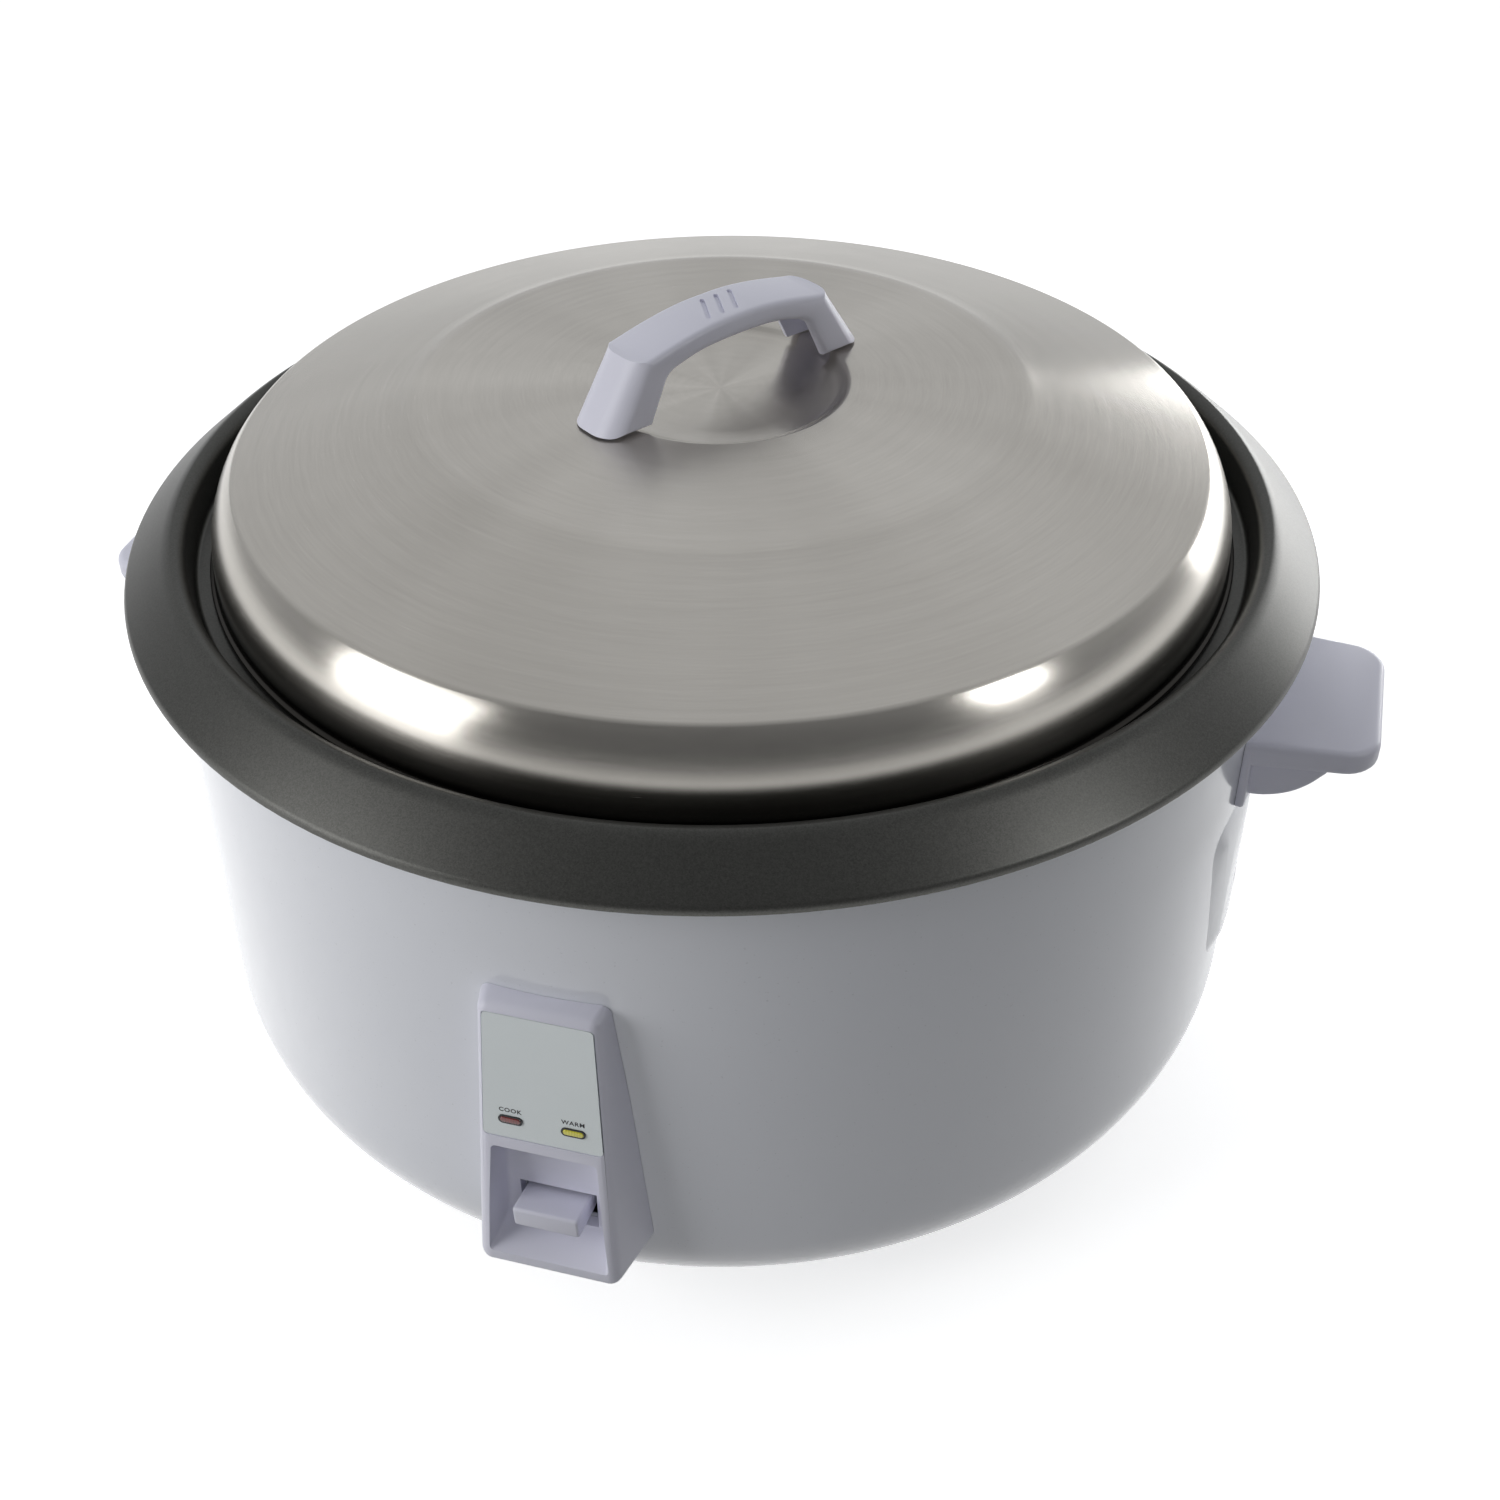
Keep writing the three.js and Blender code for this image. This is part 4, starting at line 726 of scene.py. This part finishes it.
def make_lid_grip():
    outline = [
        (41, 0), (32.5, 17.4, 3), (18, 21.2, 6), (0, 22, 8), (-18, 21.2, 6), (-32.5, 17.4, 3),
        (-41, 0), (-66, 0), (-50, 24, 3), (-42, 24.3, 3), (-24, 28.3, 9), (-9, 29.9, 4),
        (9, 29.9, 4), (24, 28.3, 9), (42, 24.3, 3), (50, 24, 3), (66, 0),
    ]
    bm = slab(outline, 24, steps=6)
    round_edges(bm, sharp_rims(bm, Y), 2.4, 4)
    for vert in bm.verts:
        vert.co.y *= 1 + 0.05 * max(1 - vert.co.z / (22 * MM), 0)
    bm = carved(bm, [rounded_grip_ends()], "INTERSECT")
    hollows = []
    for side in (-1, 1):
        leg = hulled(
            (side * out, y, z)
            for out, half, z in ((29, 9.6, -1), (59.1, 8.1, -1), (29, 9.6, 15.5), (47.2, 8.1, 15.5))
            for y in (-half, half)
        )
        post = drum(4.0, -0.5, 20.0, 24)
        bmesh.ops.translate(post, verts=post.verts, vec=(side * GRIP_SCREW * MM, 0, 0))
        hollows.append(carved(leg, [post]))
    for x in (-GROOVE_PITCH, 0, GROOVE_PITCH):
        groove = block((-0.9, 0.9), (-8, 8), (GRIP_RISE - 1.4, GRIP_RISE + 2))
        round_edges(groove, [e for e in groove.edges if run(e, Z) > 1e-3], 0.8, 3)
        turn = Matrix.Rotation(math.radians(-30), 3, "Z")
        bmesh.ops.rotate(groove, verts=groove.verts, matrix=turn)
        bmesh.ops.translate(groove, verts=groove.verts, vec=(x * MM, 0, 0))
        hollows.append(groove)
    bm = carved(bm, hollows)
    bmesh.ops.rotate(bm, verts=bm.verts, matrix=Matrix.Rotation(math.radians(GRIP_ANGLE), 3, "Z"))
    bmesh.ops.translate(bm, verts=bm.verts, vec=(0, 0, LID_TOP_Z * MM))
    piece("lid_grip", bm, WHITE, "lid", ["lid_handle"], sharp=34)


make_lid_grip()

# ---------------------------------------------------------------- side handles


SEAT_THICK = 3.2
SEAT_HALF = 41
HANDLE_REACH = 44.0
HANDLE_DEEP = 10
HANDLE_DOWN = 40


def slab_outline(inner, outer, half, corner, flare):
    """A handle seen from above, wider by the flare on each side where it meets the wall."""
    wide = half + flare
    return [(inner, -wide), (outer, -half, corner), (outer, half, corner), (inner, wide)]


def make_side_grip(side, name, node):
    top = RIM_Z - HANDLE_DOWN
    low = top - HANDLE_DEEP
    reach = BODY_R + HANDLE_REACH
    bm = slab(slab_outline(BODY_R - 6, reach, 35.7, 12, 5.2), HANDLE_DEEP, steps=8)
    bmesh.ops.rotate(bm, verts=bm.verts, matrix=Matrix.Rotation(math.radians(90), 3, "X"))
    bmesh.ops.translate(bm, verts=bm.verts, vec=(0, 0, (top + low) / 2 * MM))
    round_edges(bm, sharp_rims(bm, Z), 2.8, 4)
    bracket = slab([
        (BODY_R - 6, low + 4), (BODY_R - 6, low - 15.5), (BODY_R + 4, low - 16, 3),
        (BODY_R + 13, low - 13.6, 4), (BODY_R + 20.5, low - 8.6, 4), (BODY_R + 27, low - 0.6, 1),
        (BODY_R + 27, low + 4),
    ], 72, steps=4)
    round_edges(bracket, sharp_rims(bracket, Y), 2.0, 3)
    whole = carved(bm, [bracket], "UNION")
    pocket = block((BODY_R + 6, BODY_R + 20), (-33, 33), (low - 30, low - 1))
    posts = []
    for y in (-22, 22):
        post = drum(4.6, 0, 24, 24)
        bmesh.ops.rotate(post, verts=post.verts, matrix=Matrix.Rotation(math.radians(90), 3, "Y"))
        bmesh.ops.translate(post, verts=post.verts, vec=((BODY_R - 8) * MM, y * MM, (low - 6) * MM))
        posts.append(post)
    whole = carved(whole, [carved(pocket, posts)])
    seat = handle_seat(low - 5.5)
    whole = carved(whole, [seat], "UNION")
    whole = carved(whole, [drum(BODY_R + 0.15, 100, 200, 192)])
    if side < 0:
        bmesh.ops.rotate(whole, verts=whole.verts, matrix=Matrix.Rotation(math.pi, 3, "Z"))
    piece(name, whole, WHITE, "base", [node], sharp=38)


def handle_seat(middle):
    """The thin plate against the wall that the side handle grows from."""
    seat = slab([
        (-SEAT_HALF, -14, 3), (SEAT_HALF, -14, 3), (SEAT_HALF, 13.5, 3), (-SEAT_HALF, 13.5, 3),
    ], SEAT_THICK + 2, steps=4)
    front = [e for e in edges_between(seat, 60, 120) if max(v.co.y for v in e.verts) < 0]
    round_edges(seat, front, 1.2, 3)
    cross_cuts(seat, range(-36, 37, 6))
    bmesh.ops.translate(seat, verts=seat.verts, vec=(0, (2 - SEAT_THICK) / 2 * MM, middle * MM))
    wrap_round_body(seat, BODY_R)
    bmesh.ops.rotate(seat, verts=seat.verts, matrix=Matrix.Rotation(math.radians(90), 3, "Z"))
    return tidy(seat)


make_side_grip(1, "side_grip_right", "side_handle_right")
make_side_grip(-1, "side_grip_left", "side_handle_left")

# ---------------------------------------------------------------- control box

BOX_TOP_Z = RIM_Z - 57.5
BOX_LOW_Z = RIM_Z - 176.5
BOX_TOP_OUT = BODY_R + 8
BOX_LOW_OUT = BODY_R + 19
FACE_TILT = math.atan2(BOX_LOW_OUT - BOX_TOP_OUT, BOX_TOP_Z - BOX_LOW_Z)
ON_FACE = Matrix.Translation((0, -BOX_TOP_OUT * MM, BOX_TOP_Z * MM)) @ Matrix.Rotation(
    math.pi / 2 - FACE_TILT, 4, "X"
)
LENS_X = 11.2
LENS_DOWN = 48.5
LABEL = (19.2, -2.8, 21.5, -56.8)
LEGEND_TALL = 2.5
LEGEND_UP = 3.3


def on_face(bm):
    """Puts a piece drawn flat, X across and Y up, on the box's front face."""
    bmesh.ops.transform(bm, matrix=ON_FACE, verts=bm.verts)
    return bm


def label_outline(grow, corner):
    top_half, top, low_half, low = LABEL
    top_half += grow
    low_half += grow
    return [
        (-top_half, top + grow, corner), (top_half, top + grow, corner),
        (low_half, low - grow, corner), (-low_half, low - grow, corner),
    ]


def lozenge(half, r):
    return [(-half, -r, r * 0.98), (half, -r, r * 0.98), (half, r, r * 0.98), (-half, r, r * 0.98)]


def make_switch_box():
    heights = (BOX_TOP_Z, BOX_LOW_Z)
    out = wedge((BOX_TOP_OUT, BOX_LOW_OUT), (200, 200), heights, (20.9, 25.5), (24.5, 36))
    wall_side = -(BODY_R - 7) * MM
    for vert in out.verts:
        if vert.co.y > wall_side:
            vert.co.z += (3.5 if vert.co.z > 0.1 else 8.0) * MM
    rims = [e for e in out.edges if min(v.co.y for v in e.verts) < wall_side]
    round_edges(out, rims, 3.6, 5)
    niche = wedge((237, 237), (216, 216), (RIM_Z - 119, RIM_Z - 173.2), (20.4, 23.6), (17.8, 19.4))
    for vert in niche.verts:
        if vert.co.y > -0.22 and vert.co.z < 0.08:
            vert.co.z = (SLOT_Z[0] - 0.5) * MM
    back = [e for e in niche.edges if min(v.co.y for v in e.verts) > -0.22]
    side = [e for e in niche.edges if run(e, Y) > 0.01]
    round_edges(niche, back + side, 1.6, 3)
    slot = block((-SLOT_HALF, SLOT_HALF), (-230, -190), SLOT_Z)
    recess = on_face(flat(label_outline(0.3, 1.9), -1.6, 6))
    hollow = wedge((216, 221.3), (190, 190), (BOX_TOP_Z - 2.5, RIM_Z - 117.3), (17, 19), (17, 19))
    windows = [
        on_face(flat([(x - 6, -52), (x + 6, -52), (x + 6, -45), (x - 6, -45)], -9, 1))
        for x in (-LENS_X, LENS_X)
    ]
    wall = drum(BODY_R + 0.2, 20, 200, 192)
    box = carved(out, [niche, recess, hollow, slot, wall, *windows])
    piece("switch_box", box, WHITE, "base", ["control_box"], sharp=30, edge=0.7)


def make_label():
    sheet = flat(label_outline(0, 1.6), -1.5, -0.3)
    holes = [flat(lozenge(4.4, 1.8), -5, 5) for _ in range(2)]
    for hole, x in zip(holes, (-LENS_X, LENS_X)):
        bmesh.ops.translate(hole, verts=hole.verts, vec=(x * MM, -LENS_DOWN * MM, 0))
    sheet = carved(sheet, holes)
    piece("label_face", on_face(sheet), LABEL_FINISH, "base", ["label_plate"])


def make_lens(name, x, finish, node):
    cap = flat(lozenge(3.7, 1.15), -3.0, 0.35, steps=6)
    top = [e for e in edges_between(cap, 60, 120) if min(v.co.z for v in e.verts) > 0]
    round_edges(cap, top, 0.35, 3)
    bmesh.ops.translate(cap, verts=cap.verts, vec=(x * MM, -LENS_DOWN * MM, 0))
    piece(name + "_jewel", on_face(cap), finish, "base", [node])
    rim = flat(lozenge(4.4, 1.75), -0.3, 0.1, steps=6)
    rim = carved(rim, [flat(lozenge(3.75, 1.2), -3, 3, steps=6)])
    bmesh.ops.translate(rim, verts=rim.verts, vec=(x * MM, -LENS_DOWN * MM, 0))
    piece(name + "_rim", on_face(rim), BLACK, "base")


def make_legend(name, words, x):
    """Small printed capitals above a lens."""
    curve = bpy.data.curves.new(name, "FONT")
    curve.body = words
    curve.size = LEGEND_TALL * MM
    curve.offset = 0.05 * MM
    curve.align_x = "CENTER"
    curve.space_character = 1.15
    curve.extrude = 0.02 * MM
    text = bpy.data.objects.new(name, curve)
    bpy.context.collection.objects.link(text)
    bpy.context.view_layer.update()
    depsgraph = bpy.context.evaluated_depsgraph_get()
    mesh = bpy.data.meshes.new_from_object(text.evaluated_get(depsgraph))
    bpy.data.objects.remove(text)
    bm = bmesh.new()
    bm.from_mesh(mesh)
    bmesh.ops.remove_doubles(bm, verts=bm.verts, dist=1e-6)
    bmesh.ops.translate(bm, verts=bm.verts, vec=(x * MM, (LEGEND_UP - LENS_DOWN) * MM, -0.26 * MM))
    piece(name, on_face(bm), INK, "base")


def make_cook_paddle():
    reach = BODY_R + 18
    out = [
        (reach - 0.6, HINGE_Z + 0.3, 1.4), (reach, HINGE_Z + 9.8, 1.6), (214, HINGE_Z + 6.2, 2),
        (HINGE_OUT, HINGE_Z + 3), (HINGE_OUT, HINGE_Z - 3), (206, HINGE_Z - 3, 1),
        (214, HINGE_Z - 2.6, 2),
    ]
    bm = slab(out, 24, steps=5)
    round_edges(bm, sharp_rims(bm, Y), 1.3, 4)
    bmesh.ops.rotate(bm, verts=bm.verts, matrix=Matrix.Rotation(math.radians(-90), 3, "Z"))
    hub = drum(3.4, -12, 12, 40)
    pin_hole = drum(1.8, -14, 14, 32)
    for tool in (hub, pin_hole):
        bmesh.ops.rotate(tool, verts=tool.verts, matrix=Matrix.Rotation(math.radians(90), 3, "Y"))
        bmesh.ops.translate(tool, verts=tool.verts, vec=(0, -HINGE_OUT * MM, HINGE_Z * MM))
    bm = carved(carved(bm, [hub], "UNION"), [pin_hole])
    piece("cook_paddle", bm, WHITE, "cook_lever", ["cook_lever"], sharp=38)


make_switch_box()
make_label()
make_lens("cook", -LENS_X, RED_LENS, "cook_lens")
make_lens("warm", LENS_X, YELLOW_LENS, "warm_lens")
make_legend("cook_legend", "COOK", -LENS_X)
make_legend("warm_legend", "WARM", LENS_X)
make_cook_paddle()

# ---------------------------------------------------------------- inlet


PANEL_THICK = 3.1
PANEL_SLOPE = 9.0
PANEL_SINK = 2.5
TUBE_BACK = 197.5
TUBE_FACE = BODY_R + 1.2
TUBE_HALF = (14.7, 10.7)
TUBE_WALL = 2.0
FLANGE = (206.7, 208.7)


def make_inlet():
    panel = slab([
        (-62, RIM_Z - 71, 14), (62, RIM_Z - 71, 14), (42, RIM_Z - 148, 12), (-42, RIM_Z - 148, 12),
    ], PANEL_THICK, steps=8)
    front = [f for f in panel.faces if f.normal.y < -0.9]
    bmesh.ops.inset_region(
        panel, faces=front, thickness=PANEL_SLOPE * MM, depth=0, use_even_offset=True,
    )
    middle = {v for f in front for v in f.verts}
    for vert in panel.verts:
        if vert.co.y < 0 and vert not in middle:
            vert.co.y += PANEL_SINK * MM
    cross_cuts(panel, range(-60, 61, 6))
    bmesh.ops.translate(panel, verts=panel.verts, vec=(0, -0.85 * MM, 0))
    wrap_round_body(panel, BODY_R)
    bmesh.ops.rotate(panel, verts=panel.verts, matrix=Matrix.Rotation(math.radians(90), 3, "Z"))
    z = INLET_Z
    opening = block((190, 240), (-15, 15), (z - INLET_HALF_TALL, z + INLET_HALF_TALL))
    panel = carved(tidy(panel), [opening])
    piece("inlet_panel", panel, ENAMEL, "base", ["inlet_plate"], sharp=40)
    wide, tall = TUBE_HALF
    tube = block((TUBE_BACK, TUBE_FACE), (-wide, wide), (z - tall, z + tall))
    flange = block(FLANGE, (-19, 19), (z - 15, z + 15))
    round_edges(flange, [e for e in flange.edges if run(e, X) > 1e-3], 3, 5)
    body = carved(tube, [flange], "UNION")
    wide -= TUBE_WALL
    tall -= TUBE_WALL
    well = block((TUBE_BACK + 1.7, 230), (-wide, wide), (z - tall, z + tall))
    pins = [
        block((190, 210), (y - 1.4, y + 1.4), (z + up - 2.9, z + up + 2.9))
        for y, up in ((-7, -1.5), (0, 2), (7, -1.5))
    ]
    body = carved(body, [well, *pins])
    piece("inlet_body", body, BLACK, "base", ["inlet_socket"], sharp=30, edge=0.4)


make_inlet()
refinish_carried_nodes()

# ---------------------------------------------------------------- studio

SKY_TOWARDS = (-0.22, 0.8, 0.56)
SKY_TONES = (
    (0.0, 0.07), (0.2, 0.11), (0.42, 0.16), (0.56, 0.26), (0.78, 0.5), (0.9, 0.64), (1.0, 0.7),
)
CAMERA_LENS = 48.02352
CAMERA_TURN = 15.8
CAMERA_DROP = 37.903
CAMERA_ROLL = -0.4908
CAMERA_FROM_RIM = (9.8, -667.9, 405.4)


def make_floor():
    bm = bmesh.new()
    bmesh.ops.create_grid(bm, x_segments=2, y_segments=2, size=9.0)
    mesh = bpy.data.meshes.new("studio_floor")
    bm.to_mesh(mesh)
    bm.free()
    f = Finish("studio_floor", roughness=0.8, specular_ior_level=0.1)
    cloud = f.noise(f.place(), 3.0, 2.0)
    f.colour(f.mix(cloud, linear("f4f4f4"), linear("fafafa")))
    f.shader.inputs["Emission Color"].default_value = (1.0, 1.0, 1.0, 1.0)
    f.shader.inputs["Emission Strength"].default_value = 0.62
    mesh.materials.append(f.material)
    floor = bpy.data.objects.new("studio_floor", mesh)
    bpy.context.collection.objects.link(floor)
    floor.visible_diffuse = False


def softbox(name, bearing, reach, height, size, power, seen=True, fills=True):
    """A soft light at a bearing round the cooker, in degrees from +X, aimed at its middle."""
    light = bpy.data.lights.new(name, "AREA")
    light.shape = "RECTANGLE"
    light.size, light.size_y = size
    light.energy = power
    obj = bpy.data.objects.new(name, light)
    bpy.context.collection.objects.link(obj)
    turn = math.radians(bearing)
    place = Vector((reach * math.cos(turn), reach * math.sin(turn), height))
    obj.rotation_euler = (Vector((0, 0, 0.18)) - place).to_track_quat("-Z", "Y").to_euler()
    obj.location = place
    obj.visible_glossy = seen
    obj.visible_diffuse = fills


def make_sky():
    """Dark in front of the cooker, pale behind it and overhead, and a plain pale backdrop."""
    world = bpy.data.worlds.new("studio")
    bpy.context.scene.world = world
    world.use_nodes = True
    sky = Shading(world.node_tree)
    spot = sky.value("ShaderNodeTexCoord", output="Generated")
    along = {0: spot, 1: SKY_TOWARDS}
    facing = sky.value("ShaderNodeVectorMath", {"operation": "DOT_PRODUCT"}, along, "Value")
    half = sky.value("ShaderNodeMapRange", None, {"Value": facing, "From Min": -1.0})
    stops = [(place, (tone * 0.985, tone, tone * 1.02)) for place, tone in SKY_TONES]
    ramp = sky.value("ShaderNodeValToRGB", {"stops": stops}, {"Fac": half})
    seen = sky.value("ShaderNodeLightPath", output="Is Camera Ray")
    shown = sky.mix(seen, ramp, linear("fafafa"))
    background = world.node_tree.nodes["Background"]
    sky.tree.links.new(shown.socket, background.inputs["Color"])


def make_camera():
    camera = bpy.data.cameras.new("camera")
    camera.sensor_width = 36.0
    camera.lens = CAMERA_LENS
    camera.clip_start = 0.01
    drop = math.radians(CAMERA_DROP)
    roll = math.radians(CAMERA_ROLL)
    back = Vector((0, -math.cos(drop), math.sin(drop)))
    right = Vector((1, 0, 0))
    up = Vector((0, math.sin(drop), math.cos(drop)))
    right_rolled = right * math.cos(roll) + up * math.sin(roll)
    up_rolled = up * math.cos(roll) - right * math.sin(roll)
    facing = Matrix((right_rolled, up_rolled, back)).transposed().to_4x4()
    place = Vector(CAMERA_FROM_RIM) * MM + Vector((0, 0, RIM_Z * MM))
    turn = Matrix.Rotation(math.radians(CAMERA_TURN), 4, "Z")
    obj = bpy.data.objects.new("camera", camera)
    bpy.context.collection.objects.link(obj)
    obj.matrix_world = turn @ Matrix.Translation(place) @ facing
    bpy.context.scene.camera = obj


make_floor()
make_sky()
make_camera()
softbox("key_left", -140, 1.45, 0.65, (0.8, 0.9), 9.5)
softbox("box_right", -12, 1.5, 1.05, (0.35, 0.5), 5.5, fills=False)
softbox("rim_right", 58, 1.4, 0.28, (1.0, 0.36), 7)
softbox("fill_front", -80, 2.2, 1.3, (1.2, 1.2), 3.5, seen=False)
bpy.context.scene.view_settings.view_transform = "Standard"
